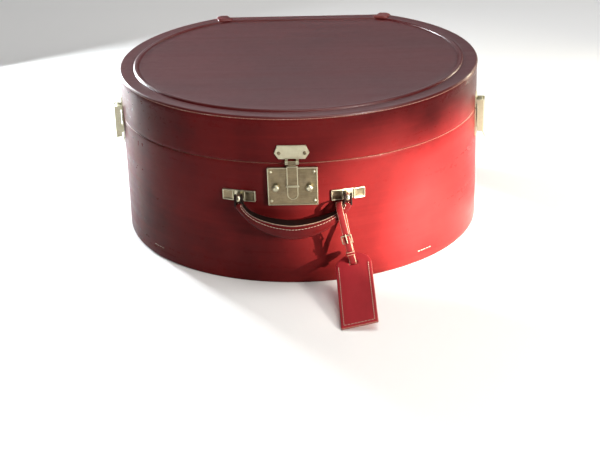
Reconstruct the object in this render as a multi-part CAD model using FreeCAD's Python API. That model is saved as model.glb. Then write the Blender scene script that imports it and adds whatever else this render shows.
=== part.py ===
import FreeCAD, Part
import math
import os

V = FreeCAD.Vector

# Round hat box with a flat back, in millimetres.
# +Z is up, the front with the lock and the handle faces -Y, the flat hinged back faces +Y.
# The origin is the centre of the round plan, on the plane that the base stands on.

# ---------------------------------------------------------------- driving dimensions
RADIUS = 215.0            # outside of the leather, round part of the plan
BACK_Y = 186.2            # outside of the flat back
CORNER_R = 10.0           # bend where the round wall meets the flat back
HEIGHT = 197.0            # top face of the lid, without the bead
SEAM_Z = 144.2            # middle of the parting line
SEAM_GAP = 0.5            # between the body's top edge and the lid's lower edge

LEATHER_T = 1.5           # wall leather
SHELL_T = 4.0             # bent wooden wall
LINING_T = 1.0            # suede lining on the walls
BOARD_T = 4.0             # base board and lid board
PAD_T = 4.0               # soft pads on the floor and under the lid
SOLE_T = 1.5              # leather under the base
SOLE_INSET = 1.0
LIP_T = 2.4               # upstand that the lid closes over
LIP_RISE = 8.0
LIP_DEPTH = 26.0
LIP_GAP = 0.6
TOP_RIM_H = 3.0           # how far the top leather wraps down the edge
TOP_EDGE_R = 2.4

BEAD_INSET = 17.0         # raised bead round the top of the lid
BEAD_W = 6.6
BEAD_H = 2.0
BEAD_BEVEL = 1.2

GAP = 0.3                 # between pieces that move past each other
BORE_GAP = 0.05           # radial clearance of a pin in its bore

LOCK_W = 55.0             # lock plate
LOCK_BOTTOM_Z = 96.0
LOCK_TOP_Z = 140.0
LOCK_PROUD = 2.2          # flat field of the plate in front of the wall
LOCK_RIM_W = 1.2
LOCK_RIM_H = 0.8
LOCK_CORNER_R = 1.5
LOCK_RIVET_X = 23.7
LOCK_RIVET_EDGE = 5.0
LOCK_RIVET_R = 1.9
CASE_W = 48.0             # lock case let into the wall
CASE_EDGE = 3.0
CASE_DEPTH = 5.4
CASE_WALL = 1.0

KNOB_X = 18.3
KNOB_Z = 117.0
KNOB_R = 4.2
KNOB_H = 5.6
KNOB_STEM_R = 1.1
KNOB_TRAVEL = 3.4
BOLT_H = 3.4
BOLT_T = 2.6
BOLT_TIP_X = 3.1
BOLT_HEAD_END_X = 10.0
BOLT_ROD_R = 0.8
BOLT_END_X = 19.2
SPRING_R = 1.5
SPRING_WIRE_R = 0.22
SPRING_SEAT_X = 16.1
SPRING_SEAT_T = 0.8
SPRING_TURNS = 5

HASP_PIN_Z = 146.2
HASP_PIN_PROUD = 4.3
HASP_PIN_R = 1.1
HASP_BARREL_R = 2.2
HASP_KNUCKLE_W = 8.4
HASP_EAR_W = 2.9
HASP_W = 12.4
HASP_T = 1.5
HASP_TIP_Z = 103.4
HASP_BAR_Z = 119.0
HASP_BAR_W = 14.6
HASP_BAR_H = 2.0
HASP_BORDER = 1.3
HASP_BORDER_H = 0.6
STAPLE_W = 5.0
STAPLE_H = 8.5
STAPLE_Z = 112.5
STAPLE_REACH = 3.0        # how far the staple goes in behind the wall's face
STAPLE_SLOT_GAP = 1.1
HASP_PLATE_W = 38.5
HASP_PLATE_TOP_Z = 165.3
HASP_PLATE_BOTTOM_Z = 149.6
HASP_PLATE_TIP_Z = 156.5
HASP_PLATE_TOP_W = 31.2
HASP_PLATE_BOTTOM_W = 29.2
HASP_PLATE_PROUD = 1.6
HASP_SCREW_X = 14.0
SCREW_R = 2.0

HANDLE_HALF = 60.0        # pivots each side of the middle
HANDLE_PIVOT_OUT = 3.5    # pivot in front of the wall
HANDLE_PIVOT_Z = 104.5
HANDLE_PIN_R = 1.5
LUG_W = 4.0
LUG_R = 4.4
EAR_T = 2.4
EAR_R = 5.4
MOUNT_W = 38.5
MOUNT_H = 12.6
MOUNT_T = 1.2
MOUNT_PAD_W = 13.4
MOUNT_PAD_T = 1.4
# Middle line of the grip, right half, from the pivot end down to the middle:
# across from the pivot towards the middle, out from the wall, down from the pivot
GRIP_LINE = [(-0.3, 3.9, 5.7), (1.0, 4.8, 9.3), (7.4, 7.1, 16.3), (14.5, 8.6, 21.7),
             (24.5, 10.3, 27.3), (40.0, 11.7, 32.7), (60.0, 12.3, 35.6)]
# Half thickness (towards the gap) and half width of the grip at those places
GRIP_HALF = [(4.8, 6.2), (4.5, 6.2), (4.1, 6.3), (5.1, 7.5), (6.8, 8.5), (8.6, 9.4), (9.4, 9.8)]
GRIP_STRIP_HALF_W = 0.64  # underside strip, as a part of the grip's half width
GRIP_STRIP_T = 1.4
GRIP_STRIP_PROUD = 0.5
CORE_W = 8.0
CORE_T = 1.6

LATCH_AZ = 80.0           # degrees round from the front
LATCH_W = 17.0
LATCH_PIN_Z = 152.4
LATCH_PIN_PROUD = 5.6
LATCH_PIN_R = 1.3
LATCH_BARREL_R = 2.5
LATCH_LEVER_FOOT_Z = 110.0
LATCH_FACE_PROUD = 9.8    # front of the lever's web
LATCH_WEB_T = 1.2
LATCH_FLANGE_T = 1.1
LATCH_FLARE_Z = 116.0
LATCH_FLARE = 2.8
LATCH_PLATE_W = 14.6
LATCH_PLATE_T = 1.3
LATCH_PLATE_TOP_Z = 163.5
LATCH_PLATE_POINT = 5.0
LATCH_BASE_BOTTOM_Z = 105.5
LATCH_STUD_W = 7.6
LATCH_STUD_H = 8.0
LATCH_STUD_Z = 124.0

HINGE_X = 62.0
HINGE_W = 36.0
HINGE_LEAF_H = 17.0
HINGE_LEAF_T = 1.2
HINGE_AXIS_OUT = 2.9      # axis behind the flat back
HINGE_BARREL_R = 2.6
HINGE_PIN_R = 1.2
HINGE_KNUCKLE_W = 12.0    # middle knuckle
HINGE_SCREW_X = 12.0

TAB_W = 20.0              # leather patch over each back corner of the lid
TAB_T = 2.6
TAB_RUN = 38.0
TAB_DROP = 26.0
PATCH_H = 30.0            # the same on the body's back corners

MARK_Z = 13.1             # short rows of pale thread low on the wall
MARK_H = 0.9
MARK_PROUD = 0.35
MARK_LEFT_AZ = (-51.9, -46.6)
MARK_RIGHT_AZ = (40.1, 45.8)

TAG_TILT = 13.0           # degrees; strap and tag lean to the right and down
TAG_W = 40.0
TAG_LEN = 111.5
TAG_LAYER_T = 1.3
TAG_SHOULDER = 19.5
TAG_SLOT_DROP = 16.0
TAG_SLOT_W = 9.6
TAG_SLOT_H = 5.8
TAG_FLOOR_GAP = 0.3
STRAP_W = 7.0
STRAP_T = 1.3
STRAP_RISE = 55.0         # from the slot up to the middle of the loop round the grip
STRAP_LEAN = 18.0         # how far the slot stands out in front of that middle
STRAP_LOOP_R = 11.8
STRAP_LAYER = 1.5         # one strap layer to the next
BUCKLE_RISE = 29.0
BUCKLE_W = 10.6
BUCKLE_H = 9.4
BUCKLE_WIRE_R = 0.75

# ---------------------------------------------------------------- worked out from them
WALL = LEATHER_T + SHELL_T
BODY_TOP = SEAM_Z - SEAM_GAP / 2
LID_BOTTOM = SEAM_Z + SEAM_GAP / 2
BASE_BOARD_TOP = SOLE_T + BOARD_T
LID_BOARD_TOP = HEIGHT - LEATHER_T
LID_BOARD_BOTTOM = LID_BOARD_TOP - BOARD_T
LIP_TOP = SEAM_Z + LIP_RISE
LIP_BOTTOM = SEAM_Z - LIP_DEPTH
FRONT_Y = -RADIUS
HASP_PIN_Y = FRONT_Y - HASP_PIN_PROUD
LOCK_FIELD_Y = FRONT_Y - LOCK_PROUD
HINGE_Y = BACK_Y + HINGE_AXIS_OUT
HANDLE_PIVOT_Y = FRONT_Y - HANDLE_PIVOT_OUT
# the last place of the grip's line is the middle, whatever the pivots' distance
GRIP_POINTS = [V(HANDLE_HALF * (1 - along / GRIP_LINE[-1][0]), FRONT_Y - out, HANDLE_PIVOT_Z - down)
               for along, out, down in GRIP_LINE]
HANDLE_AZ = math.degrees(math.asin(HANDLE_HALF / RADIUS))
TILT = math.radians(TAG_TILT)


# ---------------------------------------------------------------- helpers
def box(x0, x1, y0, y1, z0, z1):
    return Part.makeBox(x1 - x0, y1 - y0, z1 - z0, V(x0, y0, z0))


def rod_x(radius, x0, x1, y, z):
    return Part.makeCylinder(radius, x1 - x0, V(x0, y, z), V(1, 0, 0))


def rod_y(radius, x, y0, y1, z):
    return Part.makeCylinder(radius, y1 - y0, V(x, y0, z), V(0, 1, 0))


def group(solids):
    return Part.makeCompound(solids)


def turned(shape, azimuth):
    """Carry a fitting from the front of the wall round to an azimuth."""
    copy = shape.copy()
    copy.rotate(V(0, 0, 0), V(0, 0, 1), azimuth)
    return copy


def mirrored(shape):
    return shape.mirror(V(0, 0, 0), V(1, 0, 0))


def fused(first, *others):
    return first.multiFuse(list(others)).removeSplitter()


def round_edges(shape, radius, wanted):
    """Fillet the edges that the test picks."""
    return shape.makeFillet(radius, [e for e in shape.Edges if wanted(e)])


def runs_along(edge, axis):
    if len(edge.Vertexes) != 2:
        return False
    step = edge.Vertexes[1].Point - edge.Vertexes[0].Point
    return step.Length > 1e-6 and abs(abs(step.normalize().dot(axis)) - 1) < 1e-6


def at_height(edge, z):
    box_of = edge.BoundBox
    return abs(box_of.ZMin - z) < 1e-4 and abs(box_of.ZMax - z) < 1e-4


def plan_face(inset, z):
    """The plan, a circle with a flat back, drawn in from the outside by inset."""
    radius = RADIUS - inset
    back = BACK_Y - inset
    bend = max(CORNER_R - inset, 0.8)
    bend_x = math.sqrt((radius - bend) ** 2 - (back - bend) ** 2)
    reach = radius / (radius - bend)
    right = V(bend_x * reach, (back - bend) * reach, z)
    left = V(-right.x, right.y, z)
    middle_angle = (math.atan2(right.y, right.x) + math.pi / 2) / 2
    corner = V(bend_x + bend * math.cos(middle_angle), back - bend + bend * math.sin(middle_angle), z)
    edges = [
        Part.Arc(left, V(0, -radius, z), right).toShape(),
        Part.Arc(right, corner, V(bend_x, back, z)).toShape(),
        Part.makeLine(V(bend_x, back, z), V(-bend_x, back, z)),
        Part.Arc(V(-bend_x, back, z), V(-corner.x, corner.y, z), left).toShape(),
    ]
    return Part.Face(Part.Wire(edges))


def plan_solid(inset, z0, z1):
    return plan_face(inset, z0).extrude(V(0, 0, z1 - z0))


def plan_ring(outer, inner, z0, z1):
    return plan_solid(outer, z0, z1).cut(plan_solid(inner, z0 - 1, z1 + 1))


def plan_taper(low_inset, z0, high_inset, z1):
    """Solid of the plan that is drawn in, or let out, on its way up."""
    return Part.makeLoft([plan_face(low_inset, z0).OuterWire, plan_face(high_inset, z1).OuterWire], True, True)


def wall_cylinder(proud=0.0):
    return Part.makeCylinder(RADIUS + proud, HEIGHT + 40, V(0, 0, -20))


def seated(shape):
    """Trim the back of a fitting to the round wall that it sits on."""
    return shape.cut(wall_cylinder())


def wall_plate(outline, proud):
    """A thin plate bent to the round wall; outline is a closed list of (x, z) at the front."""
    far = FRONT_Y - proud - 5
    points = [V(x, far, z) for x, z in outline]
    blank = Part.Face(Part.makePolygon(points + [points[0]])).extrude(V(0, RADIUS / 2, 0))
    return seated(blank.common(wall_cylinder(proud)))


def flat_plate(outline, y_front, y_back):
    points = [V(x, y_front, z) for x, z in outline]
    return Part.Face(Part.makePolygon(points + [points[0]])).extrude(V(0, y_back - y_front, 0))


def rectangle(half_w, z0, z1):
    return [(-half_w, z0), (half_w, z0), (half_w, z1), (-half_w, z1)]


def dome(radius, height, x, y, z):
    """A low round head standing out towards -Y from the plane y."""
    ball = (radius ** 2 + height ** 2) / (2 * height)
    cap = Part.makeSphere(ball, V(x, y - height + ball, z))
    return cap.common(box(x - radius, x + radius, y - height, y, z - radius, z + radius))


def slotted_screw(x, y, z, radius=SCREW_R, height=0.8):
    """Raised countersunk head: a disc, then a shallow cone, with a slot across."""
    rim = Part.makeCylinder(radius, height / 2, V(x, y, z), V(0, -1, 0))
    crown = Part.makeCone(radius, radius * 0.6, height / 2, V(x, y - height / 2, z), V(0, -1, 0))
    return fused(rim, crown).cut(box(x - radius, x + radius, y - height, y - height / 2, z - 0.3, z + 0.3))


# ---------------------------------------------------------------- body
def lock_pocket(extra=0.0):
    half = CASE_W / 2 + extra
    return box(-half, half, FRONT_Y - 6, FRONT_Y + CASE_DEPTH + 0.1,
               LOCK_BOTTOM_Z + CASE_EDGE - extra, LOCK_TOP_Z - CASE_EDGE + extra)


def staple_slot():
    half = STAPLE_W / 2 + STAPLE_SLOT_GAP
    return box(-half, half, FRONT_Y - 10, FRONT_Y + STAPLE_REACH + STAPLE_SLOT_GAP,
               STAPLE_Z - 1.5, LID_BOTTOM)


def make_body():
    open_wall = [lock_pocket(0.1), staple_slot()]
    shell = plan_ring(LEATHER_T, WALL, SOLE_T, BODY_TOP).cut(open_wall)
    leather = plan_ring(0, LEATHER_T, SOLE_T / 2, BODY_TOP)
    leather = round_edges(leather, 0.6, lambda e: at_height(e, BODY_TOP) and e.BoundBox.YMin < FRONT_Y + 0.5)
    board = plan_solid(WALL, SOLE_T, BASE_BOARD_TOP)
    sole = plan_solid(SOLE_INSET, 0, SOLE_T).cut(plan_ring(-1, LEATHER_T, SOLE_T / 2, SOLE_T + 1))
    lip = plan_ring(WALL, WALL + LIP_GAP + LIP_T, LIP_BOTTOM, LIP_TOP)
    lip = lip.cut(plan_ring(WALL - 1, WALL + LIP_GAP, BODY_TOP, LIP_TOP + 1))
    lining = plan_ring(WALL, WALL + LINING_T, BASE_BOARD_TOP, LIP_BOTTOM)
    pad = plan_solid(WALL + LINING_T, BASE_BOARD_TOP, BASE_BOARD_TOP + PAD_T)
    pad = round_edges(pad, 1.5, lambda e: at_height(e, BASE_BOARD_TOP + PAD_T))
    return {
        "body_shell": shell,
        "body_leather": leather.cut(open_wall),
        "base_board": board,
        "base_sole": sole,
        "body_lip": lip,
        "body_lining": lining,
        "base_pad": pad,
    }


def thread_mark(azimuths):
    start, end = azimuths
    ring = Part.makeCylinder(RADIUS + MARK_PROUD, MARK_H, V(0, 0, MARK_Z), V(0, 0, 1), end - start)
    ring = ring.cut(wall_cylinder())
    ring.rotate(V(0, 0, 0), V(0, 0, 1), start - 90)
    return ring


def corner_strip(z0, z1, run):
    """A block that runs in from a back corner, square to the bend there."""
    bend_x = math.sqrt((RADIUS - CORNER_R) ** 2 - (BACK_Y - CORNER_R) ** 2)
    heading = (math.atan2(BACK_Y - CORNER_R, bend_x) + math.pi / 2) / 2
    strip = box(-run, 3 * TAB_T, -TAB_W / 2, TAB_W / 2, z0, z1)
    strip = round_edges(strip, 4.0, lambda e: runs_along(e, V(0, 0, 1)) and e.BoundBox.XMax < 0)
    strip.rotate(V(0, 0, 0), V(0, 0, 1), math.degrees(heading))
    corner = V(bend_x + CORNER_R * math.cos(heading), BACK_Y - CORNER_R + CORNER_R * math.sin(heading), 0)
    strip.translate(corner)
    return strip


def make_patches():
    strip = corner_strip(SOLE_T, SOLE_T + PATCH_H, TAB_RUN)
    patch = strip.common(plan_ring(-TAB_T * 0.7, 0, SOLE_T, SOLE_T + PATCH_H))
    return {"body_corner_patches": group([patch, mirrored(patch)])}


# ---------------------------------------------------------------- lid
def make_lid():
    shell = plan_ring(LEATHER_T, WALL, LID_BOTTOM, LID_BOARD_TOP)
    board = plan_solid(WALL, LID_BOARD_BOTTOM, LID_BOARD_TOP)
    wall = plan_ring(0, LEATHER_T, LID_BOTTOM, HEIGHT - TOP_RIM_H)
    top = plan_solid(0, HEIGHT - TOP_RIM_H, HEIGHT)
    top = round_edges(top, TOP_EDGE_R, lambda e: at_height(e, HEIGHT))
    top = top.cut(plan_solid(LEATHER_T, HEIGHT - TOP_RIM_H - 1, LID_BOARD_TOP))
    bead_in = BEAD_INSET + BEAD_W
    shoulder = HEIGHT + BEAD_H - BEAD_BEVEL
    bead = fused(plan_ring(BEAD_INSET, bead_in, HEIGHT, shoulder),
                 plan_taper(BEAD_INSET, shoulder, BEAD_INSET + BEAD_BEVEL, HEIGHT + BEAD_H).cut(
                     plan_taper(bead_in, shoulder, bead_in - BEAD_BEVEL, HEIGHT + BEAD_H)))
    lining = plan_ring(WALL, WALL + LINING_T, LIP_TOP + 1.5, LID_BOARD_BOTTOM)
    pad = plan_solid(WALL + LINING_T, LID_BOARD_BOTTOM - PAD_T, LID_BOARD_BOTTOM)
    pad = round_edges(pad, 1.5, lambda e: at_height(e, LID_BOARD_BOTTOM - PAD_T))
    return {
        "lid_shell": shell,
        "lid_board": board,
        "lid_wall_leather": wall,
        "lid_top_leather": top,
        "lid_bead": bead,
        "lid_lining": lining,
        "lid_pad": pad,
    }


def make_corner_tabs():
    crown = HEIGHT + BEAD_H + TAB_T * 0.6
    strip = corner_strip(HEIGHT - TAB_DROP, crown, TAB_RUN)
    jacket = plan_solid(-TAB_T, HEIGHT - TAB_DROP, crown)
    jacket = round_edges(jacket, 3.0, lambda e: at_height(e, crown))
    inside = plan_solid(0, HEIGHT - TAB_DROP - 1, HEIGHT)
    bead = plan_ring(BEAD_INSET, BEAD_INSET + BEAD_W, HEIGHT, HEIGHT + BEAD_H)
    tab = strip.common(jacket).cut([inside, bead])
    return {"lid_corner_tab_right": tab, "lid_corner_tab_left": mirrored(tab)}


# ---------------------------------------------------------------- back hinges
def hinge_leaf(side, up):
    """One leaf; the upper one holds the middle knuckle, the lower one the two outer ones."""
    x0, x1 = side * HINGE_X - HINGE_W / 2, side * HINGE_X + HINGE_W / 2
    mid0, mid1 = side * HINGE_X - HINGE_KNUCKLE_W / 2, side * HINGE_X + HINGE_KNUCKLE_W / 2
    clear = HINGE_BARREL_R + GAP
    tail = HINGE_LEAF_H + clear
    front, back = BACK_Y, BACK_Y + HINGE_LEAF_T
    if up:
        plate = box(x0, x1, front, back, SEAM_Z + clear, SEAM_Z + tail)
        spans = [(mid0 + GAP, mid1 - GAP)]
        tab_z = (SEAM_Z, SEAM_Z + clear)
    else:
        plate = box(x0, x1, front, back, SEAM_Z - tail, SEAM_Z - clear)
        spans = [(x0, mid0), (mid1, x1)]
        tab_z = (SEAM_Z - clear, SEAM_Z)
    pieces = []
    for a, b in spans:
        pieces.append(box(a, b, front, back + 0.8, *tab_z))
        pieces.append(rod_x(HINGE_BARREL_R, a, b, HINGE_Y, SEAM_Z))
    leaf = fused(plate, *pieces)
    leaf = leaf.cut(rod_x(HINGE_PIN_R + BORE_GAP, x0 - 1, x1 + 1, HINGE_Y, SEAM_Z))
    seam = box(x0 - 1, x1 + 1, front - 1, front + GAP, LID_BOTTOM - 1, SEAM_Z + 5)
    return leaf if up else leaf.cut(seam)


def hinge_screws(up):
    z = SEAM_Z + (HINGE_BARREL_R + HINGE_LEAF_H / 2) * (1 if up else -1)
    heads = []
    for side in (-1, 1):
        for offset in (-HINGE_SCREW_X, 0, HINGE_SCREW_X):
            head = slotted_screw(side * HINGE_X + offset, 0, z, radius=1.8)
            head.rotate(V(side * HINGE_X + offset, 0, z), V(0, 0, 1), 180)
            head.translate(V(0, BACK_Y + HINGE_LEAF_T, 0))
            heads.append(head)
    return group(heads)


def make_hinges():
    half = HINGE_W / 2
    pins = [rod_x(HINGE_PIN_R, s * HINGE_X - half, s * HINGE_X + half, HINGE_Y, SEAM_Z) for s in (-1, 1)]
    return {
        "hinge_leaves_lower": group([hinge_leaf(-1, False), hinge_leaf(1, False)]),
        "hinge_leaves_upper": group([hinge_leaf(-1, True), hinge_leaf(1, True)]),
        "hinge_pins": group(pins),
        "hinge_screws_lower": hinge_screws(False),
        "hinge_screws_upper": hinge_screws(True),
    }


# ---------------------------------------------------------------- lock
def knob_slot(side):
    x0, x1 = sorted((side * KNOB_X, side * (KNOB_X + KNOB_TRAVEL)))
    half = KNOB_STEM_R + GAP
    y0, y1 = FRONT_Y - 8, FRONT_Y + 1
    slot = box(x0, x1, y0, y1, KNOB_Z - half, KNOB_Z + half)
    return fused(slot, rod_y(half, x0, y0, y1, KNOB_Z), rod_y(half, x1, y0, y1, KNOB_Z))


def make_lock_plate():
    rim_y = LOCK_FIELD_Y - LOCK_RIM_H
    outline = rectangle(LOCK_W / 2, LOCK_BOTTOM_Z, LOCK_TOP_Z)
    blank = flat_plate(outline, rim_y, FRONT_Y + 4)
    blank = round_edges(blank, LOCK_CORNER_R, lambda e: runs_along(e, V(0, 1, 0)))
    blank = round_edges(blank, 0.35, lambda e: e.BoundBox.YMax < rim_y + 0.001)
    inner = rectangle(LOCK_W / 2 - LOCK_RIM_W, LOCK_BOTTOM_Z + LOCK_RIM_W, LOCK_TOP_Z - LOCK_RIM_W)
    field = flat_plate(inner, rim_y - 1, LOCK_FIELD_Y)
    field = round_edges(field, 0.8, lambda e: runs_along(e, V(0, 1, 0)))
    behind = box(-CASE_W / 2, CASE_W / 2, FRONT_Y - 0.4, 0,
                 LOCK_BOTTOM_Z + CASE_EDGE, LOCK_TOP_Z - CASE_EDGE)
    plate = seated(blank.cut(field)).cut([behind, knob_slot(-1), knob_slot(1), staple_slot()])
    rivets = []
    for x in (-LOCK_RIVET_X, LOCK_RIVET_X):
        for z in (LOCK_BOTTOM_Z + LOCK_RIVET_EDGE, LOCK_TOP_Z - LOCK_RIVET_EDGE):
            rivets.append(dome(LOCK_RIVET_R, 1.3, x, LOCK_FIELD_Y, z))
    return {"lock_plate": plate, "lock_rivets": group(rivets)}


def make_lock_case():
    y0 = FRONT_Y - 0.4
    y1 = FRONT_Y + CASE_DEPTH
    half = CASE_W / 2
    z0, z1 = LOCK_BOTTOM_Z + CASE_EDGE, LOCK_TOP_Z - CASE_EDGE
    outer = box(-half, half, y0, y1, z0, z1)
    hollow = box(-half + CASE_WALL, half - CASE_WALL, y0 - 1, y1 - CASE_WALL, z0 + CASE_WALL, z1 - CASE_WALL)
    case = outer.cut(hollow)
    for side in (-1, 1):
        x0, x1 = sorted((side * SPRING_SEAT_X, side * (SPRING_SEAT_X + SPRING_SEAT_T)))
        case = case.fuse(box(x0, x1, y0 + 1, y1, z0, z1))
    axis_y = bolt_axis_y()
    for side in (-1, 1):
        x0, x1 = sorted((side * (SPRING_SEAT_X - 1), side * (SPRING_SEAT_X + 3)))
        case = case.cut(rod_x(BOLT_ROD_R + GAP, x0, x1, axis_y, KNOB_Z))
    return {"lock_case": case.cut(staple_slot()).removeSplitter()}


def bolt_axis_y():
    return FRONT_Y + 0.6 + BOLT_T / 2


def make_lock_slide(side):
    name = "right" if side > 0 else "left"
    axis_y = bolt_axis_y()
    top = LOCK_FIELD_Y - GAP
    knob = rod_y(KNOB_R, side * KNOB_X, top - KNOB_H, top, KNOB_Z)
    knob = round_edges(knob, KNOB_R * 0.62, lambda e: e.BoundBox.YMax < top - KNOB_H + 0.01)
    stem = rod_y(KNOB_STEM_R, side * KNOB_X, top - 1, axis_y, KNOB_Z)
    tip, shoulder, end = side * BOLT_TIP_X, side * BOLT_HEAD_END_X, side * BOLT_END_X
    head = box(*sorted((tip, shoulder)), axis_y - BOLT_T / 2, axis_y + BOLT_T / 2,
               KNOB_Z - BOLT_H / 2, KNOB_Z + BOLT_H / 2)
    x0, x1 = sorted((side * (BOLT_HEAD_END_X - 2), end))
    tail = rod_x(BOLT_ROD_R, x0, x1, axis_y, KNOB_Z)
    button = fused(knob, stem)
    bolt = fused(head, tail).cut(stem)
    coil_len = SPRING_SEAT_X - BOLT_HEAD_END_X - 2 * SPRING_WIRE_R - 0.1
    helix = Part.makeHelix(coil_len / SPRING_TURNS, coil_len, SPRING_R)
    wire = Part.Wire(Part.makeCircle(SPRING_WIRE_R, V(SPRING_R, 0, 0), V(0, 1, 0)))
    coil = Part.Wire(helix).makePipeShell([wire], True, True)
    coil.rotate(V(0, 0, 0), V(0, 1, 0), side * 90)
    coil.translate(V(side * (BOLT_HEAD_END_X + SPRING_WIRE_R + 0.05), axis_y, KNOB_Z))
    return {
        "lock_button_" + name: button,
        "lock_bolt_" + name: bolt,
        "lock_spring_" + name: coil,
    }


# ---------------------------------------------------------------- hasp
def hasp_outline(half, foot_z, top_z):
    """Straight strap with a half-round foot."""
    left, right = V(-half, 0, foot_z + half), V(half, 0, foot_z + half)
    edges = [
        Part.Arc(left, V(0, 0, foot_z), right).toShape(),
        Part.makeLine(right, V(half, 0, top_z)),
        Part.makeLine(V(half, 0, top_z), V(-half, 0, top_z)),
        Part.makeLine(V(-half, 0, top_z), left),
    ]
    return Part.Face(Part.Wire(edges))


def make_hasp():
    back = FRONT_Y - LOCK_PROUD - LOCK_RIM_H - GAP
    front = back - HASP_T
    neck_z = HASP_PIN_Z - HASP_BARREL_R - GAP - 1.4
    strap = hasp_outline(HASP_W / 2, HASP_TIP_Z, neck_z)
    strap.translate(V(0, front - HASP_BORDER_H, 0))
    strap = strap.extrude(V(0, HASP_T + HASP_BORDER_H, 0))
    half_in = HASP_W / 2 - HASP_BORDER
    upper = box(-half_in, half_in, front - 2, front, HASP_BAR_Z + HASP_BAR_H / 2, neck_z - HASP_BORDER)
    lower = hasp_outline(half_in, HASP_TIP_Z + HASP_BORDER, HASP_BAR_Z - HASP_BAR_H / 2)
    lower.translate(V(0, front - 2, 0))
    strap = strap.cut([upper, lower.extrude(V(0, 2, 0))])
    bar = box(-HASP_BAR_W / 2, HASP_BAR_W / 2, front - HASP_BORDER_H - 0.5, front,
              HASP_BAR_Z - HASP_BAR_H / 2, HASP_BAR_Z + HASP_BAR_H / 2)
    bar = round_edges(bar, 0.4, lambda e: e.BoundBox.YMax < front - HASP_BORDER_H - 0.49)
    half_k = HASP_KNUCKLE_W / 2
    knuckle = rod_x(HASP_BARREL_R, -half_k, half_k, HASP_PIN_Y, HASP_PIN_Z)
    neck = box(-half_k, half_k, front, back, neck_z - 1, HASP_PIN_Z)
    hasp = fused(strap, bar, knuckle, neck)
    hasp = hasp.cut(rod_x(HASP_PIN_R + BORE_GAP, -20, 20, HASP_PIN_Y, HASP_PIN_Z))
    staple = box(-STAPLE_W / 2, STAPLE_W / 2, back, FRONT_Y + STAPLE_REACH,
                 STAPLE_Z, STAPLE_Z + STAPLE_H)
    staple = round_edges(staple, 0.8, lambda e: runs_along(e, V(1, 0, 0)) and e.BoundBox.YMin > FRONT_Y)
    return {"hasp": hasp, "hasp_staple": staple}


def make_hasp_plate():
    outline = [
        (-HASP_PLATE_BOTTOM_W / 2, HASP_PLATE_BOTTOM_Z), (HASP_PLATE_BOTTOM_W / 2, HASP_PLATE_BOTTOM_Z),
        (HASP_PLATE_W / 2, HASP_PLATE_TIP_Z), (HASP_PLATE_TOP_W / 2, HASP_PLATE_TOP_Z),
        (-HASP_PLATE_TOP_W / 2, HASP_PLATE_TOP_Z), (-HASP_PLATE_W / 2, HASP_PLATE_TIP_Z),
    ]
    face_y = FRONT_Y - HASP_PLATE_PROUD
    plate = flat_plate(outline, face_y, FRONT_Y + 4)
    plate = round_edges(plate, 0.5, lambda e: e.BoundBox.YMax < face_y + 0.001)
    ears = []
    inner = HASP_KNUCKLE_W / 2 + GAP
    for side in (-1, 1):
        x0, x1 = sorted((side * inner, side * (inner + HASP_EAR_W)))
        ears.append(rod_x(HASP_BARREL_R, x0, x1, HASP_PIN_Y, HASP_PIN_Z))
        ears.append(box(x0, x1, HASP_PIN_Y, FRONT_Y + 2, HASP_PIN_Z, HASP_PIN_Z + HASP_BARREL_R))
        ears.append(box(x0, x1, face_y - 0.6, FRONT_Y + 2, HASP_PIN_Z, HASP_PLATE_BOTTOM_Z + 1))
    plate = fused(plate, *ears)
    plate = seated(plate).cut(rod_x(HASP_PIN_R + BORE_GAP, -20, 20, HASP_PIN_Y, HASP_PIN_Z))
    pin_half = HASP_KNUCKLE_W / 2 + GAP + HASP_EAR_W
    screws = [slotted_screw(x, face_y, HASP_PLATE_TIP_Z) for x in (-HASP_SCREW_X, HASP_SCREW_X)]
    return {
        "hasp_plate": plate,
        "hasp_pin": rod_x(HASP_PIN_R, -pin_half, pin_half, HASP_PIN_Y, HASP_PIN_Z),
        "hasp_screws": group(screws),
    }


# ---------------------------------------------------------------- handle
def make_handle_mount():
    """Right-hand fitting: a bent strip, two raised pads and the lug that holds the handle."""
    z0, z1 = HANDLE_PIVOT_Z - MOUNT_H / 2, HANDLE_PIVOT_Z + MOUNT_H / 2
    strip = wall_plate(rectangle(MOUNT_W / 2, z0, z1), MOUNT_T)
    pads = []
    for side in (-1, 1):
        pad = wall_plate(rectangle(MOUNT_PAD_W / 2, z0, z1), MOUNT_T + MOUNT_PAD_T)
        pad = round_edges(pad, 0.9, lambda e: e.BoundBox.YMin < FRONT_Y - MOUNT_T - 0.5
                          and not runs_along(e, V(0, 1, 0)))
        turn = math.degrees(side * (MOUNT_W - MOUNT_PAD_W) / 2 / RADIUS)
        pads.append(turned(pad, turn))
    mount = turned(fused(strip, *pads), HANDLE_AZ)
    x0, x1 = HANDLE_HALF - LUG_W / 2, HANDLE_HALF + LUG_W / 2
    lug = rod_x(LUG_R, x0, x1, HANDLE_PIVOT_Y, HANDLE_PIVOT_Z)
    web = box(x0, x1, HANDLE_PIVOT_Y, HANDLE_PIVOT_Y + 16, HANDLE_PIVOT_Z - LUG_R, HANDLE_PIVOT_Z + LUG_R)
    lug = seated(fused(lug, web))
    mount = fused(mount, lug)
    return mount.cut(rod_x(HANDLE_PIN_R + BORE_GAP, x0 - 1, x1 + 1, HANDLE_PIVOT_Y, HANDLE_PIVOT_Z))


def whole_line(half_line):
    """Mirror the right half of the grip's stations to the left."""
    return [V(-p.x, p.y, p.z) for p in half_line[:-1]] + list(reversed(half_line))


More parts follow.
